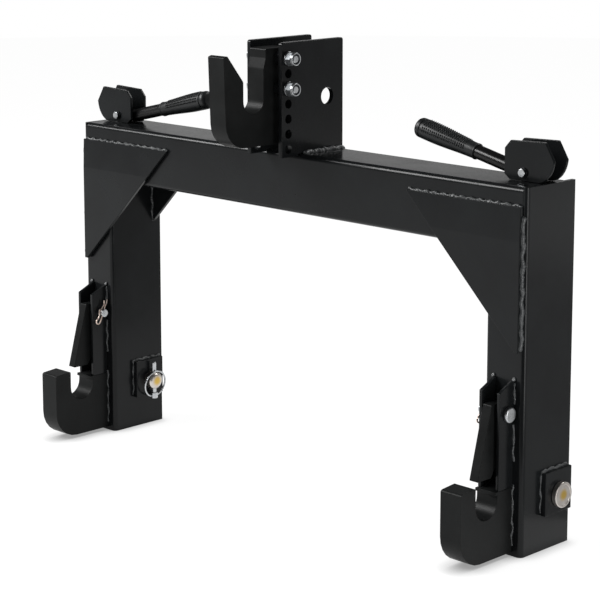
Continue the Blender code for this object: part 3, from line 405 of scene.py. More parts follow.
def make_materials():
    """Every finish on the hitch. Grain finer than about 1 mm is drawn coarser, so that it shows."""
    low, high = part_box("right_lower_link_pin")
    return {
        # Baked powder on rolled steel: satin, with a slight orange peel and soft cloudy reflections
        "coat": surface("satin black powder coat", ("#121314", "#181a1b"), 70, (0.16, 0.25), 2.6, 0.000012,
                        Specular_IOR_Level=0.18),
        # The same powder over a flame cut plate: duller, because the cut face under it is rough
        "cut": surface("black powder coat on flame cut plate", ("#141515", "#1b1c1c"), 30, (0.34, 0.46),
                       2.2, 0.00004, Specular_IOR_Level=0.10),
        # The same powder over weld ripples, its colour painted a lighter grey than the coat: a painted sheen
        # that stands in for the ripples' glints
        "bead": surface("weld bead coat with painted sheen", ("#303233", "#4a4c4d"), 2.4, (0.32, 0.44), 1.2,
                        0.00003, Specular_IOR_Level=0.6),
        # Air-drying gloss enamel on the lever rods: nearly black, with one long highlight
        "enamel": surface("gloss black enamel", ("#0c0c0d", "#121213"), 40, (0.20, 0.26), 3.0, 0.00001,
                          Specular_IOR_Level=0.34),
        # Clear passivated zinc on turned steel: bright, with faint cloudy patches
        "zinc": surface("bright zinc plate", ("#b4b7ba", "#cdcfd0"), 9, (0.24, 0.36), 1.0, 0.000002,
                        metallic=1.0),
        # Zinc on the nuts' hexagons: duller, and painted darker and greyer than the bright zinc of their
        # collars, as painted shade on the hexagons
        "zinc_painted_shade": surface("zinc with painted shade", ("#64676a", "#7f8284"), 3, (0.46, 0.60), 1.0, 0.000002,
                           metallic=1.0),
        # Zinc plate with a yellow stain left where the passivating bath pooled on the pin's ends
        "pin": stained(surface("stained zinc plate", ("#c9c1bb", "#d6d2cc"), 5, (0.28, 0.40), 1.0, 0.000003,
                               metallic=1.0),
                       (low.y + high.y) / 2, (low.z + high.z) / 2, "#cfae5a",
                       LINK_STAIN_REACH, LINK_STAIN_FADE),
        # Copper washed spring wire: pale pinkish where the wash is thin, drawn smooth
        "copper": surface("copper washed spring wire", ("#dcc3b6", "#e6d6cb"), 5, (0.26, 0.36), 0.8,
                          0.000002, metallic=1.0),
        # Oil blackened steel: dark, low sheen, slightly warm where the oil has dried
        "oxide": surface("oil blackened steel", ("#17181a", "#222223"), 8, (0.34, 0.48), 1.2, 0.00001,
                         metallic=0.7),
        # Moulded nitrile rubber: soft sheen, with faint grey patches of release dust
        "rubber": surface("moulded nitrile rubber", ("#151718", "#1e2021"), 6, (0.34, 0.44), 1.4,
                          0.000006, Specular_IOR_Level=0.36),
        # Nylon locking insert in the nuts: waxy and dark
        "nylon": surface("nylon insert", ("#15171b", "#20242b"), 4, (0.40, 0.50), 1.0, 0.00001),
    }


MATERIALS = make_materials()


# Meshes

def box(node):
    """The corners of a node, mirrored to +X, so that one rule places both sides' pieces."""
    low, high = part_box(node)
    if high.x < 0:
        low.x, high.x = -high.x, -low.x
    return low, high


def finish(name, bm, body, material, replaces=(), side=None, smooth=SMOOTH_TURN):
    """Makes a piece of the mesh: mirrored for the left side, shaded, painted and set on its body."""
    if side == "left":
        bmesh.ops.scale(bm, vec=(-1, 1, 1), verts=bm.verts[:])
        bmesh.ops.reverse_faces(bm, faces=bm.faces[:])
    mesh = bpy.data.meshes.new(name)
    bm.to_mesh(mesh)
    bm.free()
    mesh.shade_smooth()
    mesh.set_sharp_from_angle(angle=smooth)
    mesh.materials.append(MATERIALS[material])
    piece = bpy.data.objects.new(name, mesh)
    bpy.context.scene.collection.objects.link(piece)
    even = piece.modifiers.new("even shading", "WEIGHTED_NORMAL")
    even.keep_sharp = True
    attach(piece, body)
    if replaces:
        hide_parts(*replaces)
    return piece


def cleaned(node):
    """A node's own shape with its doubles merged and its flat faces whole."""
    bm = bmesh.new()
    bm.from_mesh(frame["nodes"][node].data)
    bmesh.ops.remove_doubles(bm, verts=bm.verts[:], dist=NODE_DOUBLES)
    bmesh.ops.dissolve_limit(bm, angle_limit=FLAT_TURN, verts=bm.verts[:], edges=bm.edges[:],
                             use_dissolve_boundaries=False)
    return bm


def rounded(bm, width):
    """Rounds the sharp outer edges."""
    edges = []
    for edge in bm.edges:
        if edge.is_manifold and edge.is_convex and edge.calc_face_angle() > SHARP_TURN:
            edges.append(edge)
    bmesh.ops.bevel(bm, geom=edges, offset=width, offset_type="OFFSET", segments=EDGE_STEPS, profile=0.5,
                    affect="EDGES", material=-1, clamp_overlap=True)
    return bm


def dress(node, material, width, smooth=SMOOTH_TURN):
    """Gives a node rounded edges and its finish, in its own place."""
    body = frame["nodes"][node]["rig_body"]
    finish(f"{node}_skin", rounded(cleaned(node), width), body, material, replaces=[node], smooth=smooth)


def revolved(profile, steps=TURNED_STEPS, closed=False):
    """A (along, radius) profile turned round +Z."""
    bm = bmesh.new()
    verts = [bm.verts.new((radius, 0, along)) for along, radius in profile]
    edges = [bm.edges.new(pair) for pair in zip(verts, verts[1:])]
    if closed:
        edges.append(bm.edges.new((verts[-1], verts[0])))
    bmesh.ops.spin(bm, geom=verts + edges, cent=(0, 0, 0), axis=(0, 0, 1), angle=2 * pi, steps=steps,
                   use_merge=True)
    bmesh.ops.remove_doubles(bm, verts=bm.verts[:], dist=SHAPE_DOUBLES)
    bmesh.ops.recalc_face_normals(bm, faces=bm.faces[:])
    return bm


def place(bm, centre, axis=(0, 0, 1)):
    """Turns a shape from +Z to an axis and sets it at a point."""
    turn = Vector((0, 0, 1)).rotation_difference(Vector(axis)).to_matrix().to_4x4()
    bmesh.ops.transform(bm, matrix=Matrix.Translation(centre) @ turn, verts=bm.verts[:])
    return bm


def merged(*parts):
    """Several shapes as one mesh."""
    whole = bmesh.new()
    for part in parts:
        mesh = bpy.data.meshes.new("part")
        part.to_mesh(mesh)
        part.free()
        whole.from_mesh(mesh)
        bpy.data.meshes.remove(mesh)
    return whole


def arc(centre, radius, start, end, steps):
    """Points (along, radius) of an arc in a profile, from angle start to angle end."""
    points = []
    for step in range(steps + 1):
        turn = start + (end - start) * step / steps
        points.append((centre[0] + radius * sin(turn), centre[1] + radius * cos(turn)))
    return points


def swept(points, radius):
    """A round wire along points, with closed ends."""
    curve = bpy.data.curves.new("wire", "CURVE")
    curve.dimensions = "3D"
    curve.bevel_depth = radius
    curve.bevel_resolution = WIRE_STEPS
    curve.use_fill_caps = True
    spline = curve.splines.new("POLY")
    spline.points.add(len(points) - 1)
    for spot, point in zip(spline.points, points):
        spot.co = (*point, 1.0)
    holder = bpy.data.objects.new("wire", curve)
    bpy.context.scene.collection.objects.link(holder)
    mesh = bpy.data.meshes.new_from_object(holder.evaluated_get(bpy.context.evaluated_depsgraph_get()))
    bpy.data.objects.remove(holder)
    bm = bmesh.new()
    bm.from_mesh(mesh)
    bpy.data.meshes.remove(mesh)
    bmesh.ops.remove_doubles(bm, verts=bm.verts[:], dist=WIRE_DOUBLES)
    bmesh.ops.recalc_face_normals(bm, faces=bm.faces[:])
    return bm


def smoothed(points):
    """Cuts the corners of a line of points again and again, its ends kept."""
    for _ in range(CORNER_ROUNDS):
        softer = [points[0]]
        for before, after in zip(points, points[1:]):
            softer.append(before.lerp(after, CORNER_CUT))
            softer.append(before.lerp(after, 1 - CORNER_CUT))
        points = softer + [points[-1]]
    return points


# Plates, hooks, cams and rods

def build_shaped_pieces():
    """The plates, hooks, cams and rods whose nodes have the true shape already."""
    dress("top_beam", "coat", BORED_EDGE)
    dress("top_hook", "cut", BORED_EDGE)
    for side in ("left", "right"):
        for part, material, width in SHAPED_PARTS:
            dress(f"{side}_{part}", material, width)
        dress(f"{side}_front_gusset", "coat", CUT_EDGE, FOLD_TURN)


# Weld beads

def bead(start, end, radius, chance):
    """Ripples laid over each other along a line like fallen coins, each a little off in place and size."""
    start, end = Vector(start), Vector(end)
    run = end - start
    count = max(2, ceil(run.length / RIPPLE_PITCH))
    turn = Vector((0, 0, 1)).rotation_difference(run).to_matrix().to_4x4()
    sways = [chance.uniform(0, 2 * pi) for _ in range(3)]
    ripples = []
    for number in range(count + 1):
        size = radius * (1 + chance.uniform(-RIPPLE_JITTER, RIPPLE_JITTER))
        wander = Vector([sin(sway + number * step) for sway, step in zip(sways, WANDER_STEPS)])
        spot = start + run * number / count + wander * BEAD_WANDER
        tilt = RIPPLE_LEAN + chance.uniform(-RIPPLE_LEAN_JITTER, RIPPLE_LEAN_JITTER)
        lean = Matrix.Rotation(tilt, 4, (1, 0, 0))
        bm = bmesh.new()
        bmesh.ops.create_icosphere(bm, subdivisions=2, radius=size)
        bmesh.ops.scale(bm, vec=(1, 1, RIPPLE_THIN), verts=bm.verts[:])
        bmesh.ops.transform(bm, matrix=Matrix.Translation(spot) @ turn @ lean, verts=bm.verts[:])
        ripples.append(bm)
    return ripples


def crater(spot, facing, radius):
    """The dimpled end of a bead: a small ring of metal round a hollow."""
    rim = radius * CRATER_RIM
    profile = arc((0, radius - rim), rim, 0, 2 * pi, 10)[:-1]
    return place(revolved(profile, CRATER_STEPS, closed=True), spot, facing)


def weld(name, runs, ends, side, seed):
    """Weld beads along several lines, given as (start, end, radius), and their craters."""
    chance = random.Random(seed)
    shapes = []
    for start, end, radius in runs:
        shapes += bead(start, end, radius, chance)
    for spot, facing, radius in ends:
        shapes.append(crater(spot, facing, radius))
    # The beads take the coat whose lighter grey is a painted sheen
    piece = finish(name, merged(*shapes), "frame", "bead", side=side)
    piece.modifiers.clear()
    fuse = piece.modifiers.new("fuse", "REMESH")
    fuse.mode = "VOXEL"
    fuse.voxel_size = BEAD_VOXEL
    fuse.use_smooth_shade = True


def build_gusset_weld(side, seed):
    """Two strands over the front gusset's top edge, and a bead down its outer edge with two craters."""
    front = box(f"{side}_leg")[0].y
    low, high = box(f"{side}_front_gusset")
    runs = []
    for (start_in, start_ahead, start_up), (end_in, end_ahead, end_up), radius in GUSSET_STRANDS:
        runs.append(((low.x + start_in, front - start_ahead, high.z + start_up),
                     (high.x - end_in, front - end_ahead, high.z + end_up), radius))
    edge = high.x + GUSSET_BEAD_OUT
    ahead = front - GUSSET_BEAD_AHEAD
    runs.append(((edge, ahead, high.z - GUSSET_BEAD_TOP), (edge, ahead, low.z + GUSSET_BEAD_FOOT),
                 GUSSET_BEAD))
    ends = []
    for drop, radius in GUSSET_CRATERS:
        ends.append(((high.x, front - GUSSET_CRATER_AHEAD, high.z - drop), AHEAD, radius))
    weld(f"{side}_gusset_weld", runs, ends, side, seed)


def build_hook_weld(side, seed):
    """Beads down the outer sides of the latch cheeks and the lower hook, with craters at the cheeks' tops."""
    front = box(f"{side}_leg")[0].y
    outer_low, outer_high = box(f"{side}_outer_latch_cheek")
    inner_low, inner_high = box(f"{side}_inner_latch_cheek")
    hook_low, hook_high = box(f"{side}_lower_hook")
    runs = []
    ends = []
    for edge, low, high in ((outer_high.x, outer_low, outer_high), (inner_low.x, inner_low, inner_high)):
        for top, foot, radius in ((high.z - CHEEK_TOP_SEAM[0], high.z - CHEEK_TOP_SEAM[1], CHEEK_BEAD),
                                  (low.z + CHEEK_FOOT_SEAM[0], low.z + CHEEK_FOOT_SEAM[1], CHEEK_BEAD),
                                  (hook_high.z - HOOK_SEAM[0], hook_low.z + HOOK_SEAM[1], HOOK_BEAD)):
            runs.append(((edge, front, top), (edge, front, foot), radius))
        for ahead, above, upward, radius in CHEEK_CRATERS:
            ends.append(((edge, front - ahead, high.z + above), (0, -1, upward), radius))
    weld(f"{side}_hook_weld", runs, ends, side, seed)


def build_boss_weld(side, seed):
    """A bead over the top of each pin boss and one down its front edge."""
    leg_low, leg_high = box(f"{side}_leg")
    runs = []
    for name, face in (("inner", leg_low.x), ("outer", leg_high.x)):
        low, high = box(f"{side}_{name}_pin_boss")
        runs.append(((face, low.y + BOSS_TOP_INSET, high.z), (face, high.y - BOSS_TOP_INSET, high.z),
                     BOSS_TOP_BEAD))
        runs.append(((face, low.y, high.z - BOSS_SIDE_INSET), (face, low.y, low.z + BOSS_SIDE_INSET),
                     BOSS_SIDE_BEAD))
    weld(f"{side}_boss_weld", runs, [], side, seed)


def build_mast_weld(side, seed):
    """A fat bead along the mast plate's outer foot, a crater before it, and a bead across the back edge."""
    beam_low, beam_high = box("top_beam")
    low, high = box(f"{side}_mast_plate")
    floor = beam_high.z
    start = max(low.y, beam_low.y) + MAST_SEAM_START
    foot = high.x + MAST_BEAD_OUT
    up = floor + MAST_BEAD_UP
    runs = [((foot, start, up), (foot, high.y - MAST_SEAM_INSET, up), MAST_BEAD)]
    runs.append(((low.x + MAST_SEAM_INSET, high.y, floor), (high.x - MAST_SEAM_INSET, high.y, floor),
                 MAST_BACK_BEAD))
    crater_spot = (high.x + MAST_CRATER_OUT, start - MAST_CRATER_AHEAD, floor + MAST_CRATER_UP)
    weld(f"{side}_mast_weld", runs, [(crater_spot, MAST_CRATER_FACING, MAST_CRATER)], side, seed)


def build_corner_weld(side, seed):
    """Beads along the rear gusset's two legs, on the leg and under the beam."""
    inner = box(f"{side}_leg")[0].x
    under = box("top_beam")[0].z
    low, high = box(f"{side}_rear_gusset")
    weld(f"{side}_corner_weld", [
        ((inner, low.y, low.z + REAR_TIP_INSET), (inner, low.y, high.z - REAR_CORNER_INSET), REAR_LEG_BEAD),
        ((low.x + REAR_TIP_INSET, low.y, under), (inner - REAR_CORNER_INSET, low.y, under), REAR_BEAM_BEAD),
    ], [], side, seed)


# Fixings

def hexagon(flats, height, chamfer):
    """A hexagonal bar on +Z, its far corners turned off by the chamfer."""
    bm = bmesh.new()
    bmesh.ops.create_circle(bm, cap_ends=True, segments=6, radius=flats / sqrt(3))
    grown = bmesh.ops.extrude_face_region(bm, geom=bm.faces[:])
    lifted = [item for item in grown["geom"] if isinstance(item, bmesh.types.BMVert)]
    bmesh.ops.translate(bm, verts=lifted, vec=(0, 0, height))
    bmesh.ops.recalc_face_normals(bm, faces=bm.faces[:])
    rims = [edge for edge in bm.edges if all(abs(v.co.z - height) < SHAPE_DOUBLES for v in edge.verts)]
    bmesh.ops.bevel(bm, geom=rims, offset=chamfer, offset_type="OFFSET", segments=2, profile=0.5,
                    affect="EDGES", material=-1)
    return bm


def build_ring(node, bore, axis, material, most=1.0):
    """A washer, bush or spring ring made fresh in its node's box with rounded rims, no larger than most."""
    low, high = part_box(node)
    thick = high[axis] - low[axis]
    outer = min(most, (high[2] - low[2]) / 2)
    soft = min(RING_ROUND, thick / 4)
    profile = [(0, bore), (thick, bore)]
    profile += arc((thick - soft, outer - soft), soft, pi / 2, 0, 3)
    profile += arc((soft, outer - soft), soft, 0, -pi / 2, 3)
    start = (low + high) / 2
    start[axis] = low[axis]
    way = Vector((0, 0, 0))
    way[axis] = 1
    body = frame["nodes"][node]["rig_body"]
    finish(f"{node}_turned", place(revolved(profile, closed=True), start, way), body, material,
           replaces=[node])


def build_hook_bolt(number):
    """A low-headed bolt from the left, threaded at its end, where the nut sits."""
    low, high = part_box(f"hook_bolt_{number}")
    middle = (low + high) / 2
    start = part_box(f"left_hook_washer_{number}")[0].x
    crown = HEAD_HEIGHT - HEAD_RIM
    head = [(0, 0), (0, HEAD_RADIUS - HEAD_CHAMFER), (HEAD_CHAMFER, HEAD_RADIUS)]
    head += arc((HEAD_RIM, HEAD_RADIUS - HEAD_HEIGHT + HEAD_RIM), crown, pi / 12, pi / 2, 6)
    head = place(revolved(head + [(HEAD_HEIGHT, 0)]), (start, middle.y, middle.z), (-1, 0, 0))
    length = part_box(f"hook_nut_{number}")[1].x - BOLT_SUNK - start
    along = length - THREADED
    shank = [(0, 0), (0, BOLT_RADIUS), (along, BOLT_RADIUS)]
    while along < length - THREAD_RUNOUT:
        shank += [(along + THREAD_PITCH / 2, BOLT_RADIUS - THREAD_DEPTH), (along + THREAD_PITCH, BOLT_RADIUS)]
        along += THREAD_PITCH
    shank += [(length - BOLT_TIP_LENGTH, BOLT_RADIUS), (length, BOLT_RADIUS - BOLT_TIP_DROP), (length, 0)]
    shank = place(revolved(shank, PIN_STEPS), (start, middle.y, middle.z), (1, 0, 0))
    finish(f"hook_bolt_{number}_turned", merged(head, shank), "frame", "zinc",
           replaces=[f"hook_bolt_{number}"], smooth=FIXING_TURN)


def build_hook_nut(number):
    """A locking nut on the right: its hexagon, the rolled collar and the nylon insert held in it."""
    low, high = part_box(f"hook_bolt_{number}")
    middle = (low + high) / 2
    nut_low, nut_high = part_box(f"hook_nut_{number}")
    seat = (nut_low.x, middle.y, middle.z)
    height = nut_high.x - nut_low.x
    hexed = height * NUT_HEX_SHARE
    body = hexagon(HEX_FLATS, hexed, HEX_CHAMFER)
    foot = hexed - NUT_COLLAR_FOOT
    collar = [(foot, NYLON_RADIUS), (foot, NUT_COLLAR_RADIUS + NUT_COLLAR_FLARE)]
    collar += arc((height - NUT_COLLAR_ROUND, NUT_COLLAR_RADIUS - NUT_COLLAR_ROUND), NUT_COLLAR_ROUND, 0,
                  pi / 2, 3)
    collar += [(height, NYLON_RADIUS + NYLON_LIP), (height - NYLON_LIP_DEPTH, NYLON_RADIUS)]
    # The hexagon takes the zinc painted darker as shade, the collar the bright zinc
    finish(f"hook_nut_{number}_cut", place(body, seat, (1, 0, 0)), "frame", "zinc_painted_shade",
           replaces=[f"hook_nut_{number}"], smooth=FIXING_TURN)
    collar = place(revolved(collar, TURNED_STEPS, closed=True), seat, (1, 0, 0))
    finish(f"hook_nut_{number}_collar", collar, "frame", "zinc", smooth=FIXING_TURN)
    rim = NYLON_RADIUS - NYLON_FIT
    bore = BOLT_RADIUS + NYLON_BORE_GAP
    insert = [(hexed, bore), (hexed, rim), (height - NYLON_SUNK[0], rim), (height - NYLON_SUNK[1], bore)]
    insert = place(revolved(insert, PIN_STEPS, closed=True), seat, (1, 0, 0))
    finish(f"hook_nut_{number}_insert", insert, "frame", "nylon")


def build_top_hook_fixings(number):
    """One of the top hook's bolts with its nut, washers and spacer bushes."""
    build_hook_bolt(number)
    build_hook_nut(number)
    for side in ("left", "right"):
        build_ring(f"{side}_hook_washer_{number}", BOLT_RADIUS + BOLT_HOLE_GAP, 0, "zinc", WASHER_RADIUS)
        build_ring(f"{side}_hook_bush_{number}", BOLT_RADIUS + BOLT_HOLE_GAP, 0, "coat")


def build_link_pin(side):
    """Turned pin with a chamfered tail; its head has a turned rim and a shallow dished centre."""
    low, high = box(f"{side}_lower_link_pin")
    middle = (low + high) / 2
    head = (high.z - low.z) / 2
    seat = box(f"{side}_outer_pin_boss")[1].x + SEAT_GAP - low.x
    length = high.x - low.x
    dish = length - LINK_DISH_DEPTH
    hub = length - LINK_HUB_SUNK
    profile = [(0, 0), (0, LINK_TAIL_FACE), (LINK_TAIL_STEP, LINK_PIN_RADIUS - LINK_TAIL_DROP)]
    profile += [(LINK_TAIL_LENGTH, LINK_PIN_RADIUS), (seat, LINK_PIN_RADIUS),
                (seat, head - LINK_HEAD_CHAMFER), (seat + LINK_HEAD_CHAMFER, head)]
    profile += arc((length - LINK_HEAD_ROUND, head - LINK_HEAD_ROUND), LINK_HEAD_ROUND, 0, pi / 2, 4)
    profile += [(length, head - LINK_RIM), (dish, head - LINK_DISH_START), (dish, head * LINK_HUB_SHARES[0]),
                (hub, head * LINK_HUB_SHARES[1]), (hub, 0)]
    pin = place(revolved(profile), (low.x, middle.y, middle.z), (1, 0, 0))
    finish(f"{side}_lower_link_pin_turned", pin, "frame", "pin", side=side, smooth=LINK_PIN_TURN,
           replaces=[f"{side}_lower_link_pin"])


def build_clevis_pin(side):
    """The latch dog's pin, with a domed head outside and a rounded tail that takes the clip."""
    low, high = box(f"{side}_clevis_pin")
    middle = (low + high) / 2
    head = (high.z - low.z) / 2
    seat = high.x - CLEVIS_HEAD_HEIGHT - low.x
    length = high.x - low.x
    profile = [(0, 0)]
    profile += arc((CLEVIS_TAIL_ROUND, CLEVIS_RADIUS - CLEVIS_TAIL_ROUND), CLEVIS_TAIL_ROUND, -pi / 2, 0, 4)
    profile += [(seat, CLEVIS_RADIUS), (seat, head - CLEVIS_HEAD_CHAMFER), (seat + CLEVIS_HEAD_CHAMFER, head)]
    profile += arc((length - CLEVIS_HEAD_ROUND, head - CLEVIS_HEAD_ROUND), CLEVIS_HEAD_ROUND, 0, pi / 2, 5)
    profile.append((length, 0))
    pin = place(revolved(profile), (low.x, middle.y, middle.z), (1, 0, 0))
    finish(f"{side}_clevis_pin_turned", pin, "frame", "zinc", side=side, smooth=CLEVIS_PIN_TURN,
           replaces=[f"{side}_clevis_pin"])


def build_clip(side):
    """Hairpin clip: a straight leg through the pin, a loop below, and a waved leg hugging the pin."""
    low, high = box(f"{side}_clevis_pin")
    centre = Vector((low.x + CLIP_PLACE, (low.y + high.y) / 2, (low.z + high.z) / 2))
    hug = CLEVIS_RADIUS + CLIP_WIRE + CLIP_FIT
    path = list(CLIP_STRAIGHT_LEG)
    for step in range(1, CLIP_LOOP_STEPS):
        turn = pi * step / CLIP_LOOP_STEPS
        path.append((CLIP_LOOP - CLIP_LOOP * cos(turn), CLIP_LOOP_TOP - CLIP_LOOP * sin(turn)))
    path += [(2 * CLIP_LOOP, CLIP_RETURN_HEIGHT), (hug * CLIP_KNEE[0], CLIP_KNEE[1])]
    path += [(hug * cos(CLIP_WAVE_STEP * step), hug * sin(CLIP_WAVE_STEP * step)) for step in range(-2, 3)]
    path += CLIP_TAIL
    up = Vector((0, sin(CLIP_TILT), cos(CLIP_TILT)))
    forward = Vector((0, -cos(CLIP_TILT), sin(CLIP_TILT)))
    points = [centre + forward * ahead + up * height for ahead, height in path]
    finish(f"{side}_hairpin_clip_bent", swept(smoothed(points), CLIP_WIRE), "frame", "copper", side=side,
           replaces=[f"{side}_hairpin_clip"])


def build_lynch_pin(side):
    """Cast head below, where the ring hangs, and a pointed shank up through the link pin."""
    low, high = box(f"{side}_lynch_pin")
    middle = (low + high) / 2
    head = (high.x - low.x) / 2
    length = high.z - low.z
    foot, shoulder = LYNCH_HEAD_ROUNDS
    profile = [(0, 0)] + arc((foot, head - foot), foot, -pi / 2, 0, 4)
    profile += arc((LYNCH_HEAD_HEIGHT - shoulder, head - shoulder), shoulder, 0, pi / 2, 3)
    profile += [(LYNCH_HEAD_HEIGHT, LYNCH_RADIUS), (length - LYNCH_TIP[0], LYNCH_RADIUS),
                (length - LYNCH_TIP[1], LYNCH_RADIUS - LYNCH_TIP_DROP), (length, 0)]
    pin = place(revolved(profile, PIN_STEPS), (middle.x, middle.y, low.z))
    finish(f"{side}_lynch_pin_turned", pin, "frame", "zinc", side=side, replaces=[f"{side}_lynch_pin"])


# Levers

def lever_point(side, distance):
    """A point on the lever's axis, that far inboard of the cam pin along the lever, at +X."""
    low, high = box(f"{side}_cam_pin")
    pivot = (low + high) / 2
    rod_low, rod_high = box(f"{side}_lever_rod")
    centre = Vector((pivot.x, (rod_low.y + rod_high.y) / 2, pivot.z))
    along = Vector((-cos(LEVER_SLOPE), 0, sin(LEVER_SLOPE)))
    below = Vector((-sin(LEVER_SLOPE), 0, -cos(LEVER_SLOPE)))
    return centre + below * LEVER_DROP + along * distance


def grip_radius(at):
    """The grip swells from its waist to its palm."""
    swell = min(1.0, at / (GRIP_PALM_SHARE * GRIP_LENGTH))
    return GRIP_WAIST + (GRIP_PALM - GRIP_WAIST) * (3 * swell ** 2 - 2 * swell ** 3)


def stud(at, turn):
    """A slanted, domed stud of the grip's pattern, at a distance along it and an angle from its top."""
    bm = bmesh.new()
    bmesh.ops.create_uvsphere(bm, u_segments=8, v_segments=4, radius=1)
    bmesh.ops.scale(bm, vec=(STUD_HALF_LENGTH, STUD_HALF_WIDTH, STUD_HEIGHT), verts=bm.verts[:])
    upright = Matrix.Rotation(pi / 2, 4, "Y") @ Matrix.Rotation(pi / 2 + STUD_SLANT, 4, "Z")
    spot = Matrix.Rotation(turn, 4, "Z") @ Matrix.Translation((grip_radius(at) - STUD_SUNK, 0, at)) @ upright
    bmesh.ops.transform(bm, matrix=spot, verts=bm.verts[:])
    return bm


def build_lever_rod(side):
    """The enamelled rod, its two ends rounded."""
    start = lever_point(side, LEVER_START)
    along = (lever_point(side, LEVER_END) - start).normalized()
    length = LEVER_END - LEVER_START
    profile = [(0, 0)]
    profile += arc((LEVER_ROUND, LEVER_RADIUS - LEVER_ROUND), LEVER_ROUND, -pi / 2, 0, 3)
    profile += arc((length - LEVER_ROUND, LEVER_RADIUS - LEVER_ROUND), LEVER_ROUND, 0, pi / 2, 3)
    profile.append((length, 0))
    finish(f"{side}_lever_rod_turned", place(revolved(profile, ROD_STEPS), start, along), f"{side}_lever",
           "enamel", side=side, replaces=[f"{side}_lever_rod"])


def build_lever_grip(side):
    """A moulded grip: a lip, a smooth neck, an upper half with rows of studs, a groove and a smooth cap."""
    along = (lever_point(side, LEVER_END) - lever_point(side, LEVER_START)).normalized()
    bore = LEVER_RADIUS + GRIP_BORE_GAP
    lip = GRIP_LIP - GRIP_LIP_ROUND
    profile = [(GRIP_BORE_DEPTH, 0), (GRIP_BORE_DEPTH, bore), (0, bore)]
    profile += arc((GRIP_LIP_ROUND, lip), GRIP_LIP_ROUND, -pi / 2, 0, 3)
    profile += arc((GRIP_LIP_LENGTH - GRIP_LIP_ROUND, lip), GRIP_LIP_ROUND, 0, pi / 2, 3)
    at = GRIP_LIP_LENGTH + GRIP_NECK_STEP
    cap = GRIP_LENGTH - GRIP_CAP
    while at < cap:
        profile.append((at, grip_radius(at)))
        at += GRIP_RING_PITCH
    groove = GRIP_PALM - GRIP_GROOVE_DEPTH
    profile += [(cap, grip_radius(cap)), (cap + GRIP_GROOVE[0], groove), (cap + GRIP_GROOVE[1], groove)]
    profile += arc((cap + GRIP_CAP_START, GRIP_PALM - GRIP_CAP_DROP), GRIP_CAP_ROUND, -pi / 2, 0, 2)
    profile += arc((GRIP_LENGTH - GRIP_END_ROUND, GRIP_PALM - GRIP_END_DROP), GRIP_END_ROUND, 0, pi / 2, 6)
    profile.append((GRIP_LENGTH, 0))
    studs = []
    rows = int((cap - STUD_END_GAP - STUD_START) / STUD_PITCH)
    for row in range(rows + 1):
        for column in range(STUD_COLUMNS):
            turn = STUD_PANEL_HALF * (2 * column / (STUD_COLUMNS - 1) - 1)
            studs.append(stud(STUD_START + STUD_PITCH * row, turn))
    grip = place(merged(revolved(profile, TURNED_STEPS), *studs), lever_point(side, GRIP_START), along)
    finish(f"{side}_lever_grip_moulded", grip, f"{side}_lever", "rubber", side=side,
           replaces=[f"{side}_lever_grip"])


def build_cam_pin(side):
    """The cams' pin, headed at the back and peened over in front."""
    low, high = box(f"{side}_cam_pin")
    middle = (low + high) / 2
    head = (high.z - low.z) / 2
    length = high.y - low.y
    neck = length - CAM_PIN_HEAD
    peened = CAM_PIN_RADIUS + CAM_PIN_PEEN
    profile = [(0, 0)]
    profile += arc((CAM_PIN_PEEN_ROUND, peened - CAM_PIN_PEEN_ROUND), CAM_PIN_PEEN_ROUND, -pi / 2, 0, 3)
    profile += [(CAM_PIN_PEEN_END[0], peened), (CAM_PIN_PEEN_END[1], CAM_PIN_RADIUS), (neck, CAM_PIN_RADIUS),
                (neck, head)]
    profile += arc((length - CAM_PIN_HEAD_ROUND, head - CAM_PIN_HEAD_ROUND), CAM_PIN_HEAD_ROUND, 0,
                   pi / 2, 3)
    profile.append((length, 0))
    pin = place(revolved(profile, PIN_STEPS), (middle.x, low.y, middle.z), (0, 1, 0))
    finish(f"{side}_cam_pin_turned", pin, f"{side}_lever", "zinc", side=side,
           replaces=[f"{side}_cam_pin"])


# Studio

def seen(tree):
    """1 for what the lens, a mirror or glass shows, 0 for the light that falls on a surface."""
    rays = add_node(tree, "ShaderNodeLightPath").outputs
    shown = add_node(tree, "ShaderNodeMath", {0: rays["Is Camera Ray"], 1: rays["Is Glossy Ray"]},
                     operation="MAXIMUM").outputs[0]
    return add_node(tree, "ShaderNodeMath", {0: shown, 1: rays["Is Transmission Ray"]},
                    operation="MAXIMUM").outputs[0]


def staged(name, bm, material):
    """A floor, ceiling or card of the studio, which isn't part of the hitch."""
    mesh = bpy.data.meshes.new(name)
    bm.to_mesh(mesh)
    bm.free()
    mesh.materials.append(material)
    holder = bpy.data.objects.new(name, mesh)
    bpy.context.scene.collection.objects.link(holder)
    return holder


def blank(name):
    """A material with an empty node tree."""
    material = bpy.data.materials.new(name)
    material.use_nodes = True
    material.node_tree.nodes.clear()
    return material


def build_world():
    """An even white surround that lights softly from all round."""
    world = bpy.data.worlds.new("studio")
    bpy.context.scene.world = world
    world.use_nodes = True
    tree = world.node_tree
    level = add_node(tree, "ShaderNodeMapRange", {"Value": seen(tree), "To Min": WORLD_LIGHT, "To Max": 1.0})
    tree.links.new(level.outputs["Result"], tree.nodes["Background"].inputs["Strength"])
    tree.nodes["Background"].inputs["Color"].default_value = (1, 1, 1, 1)


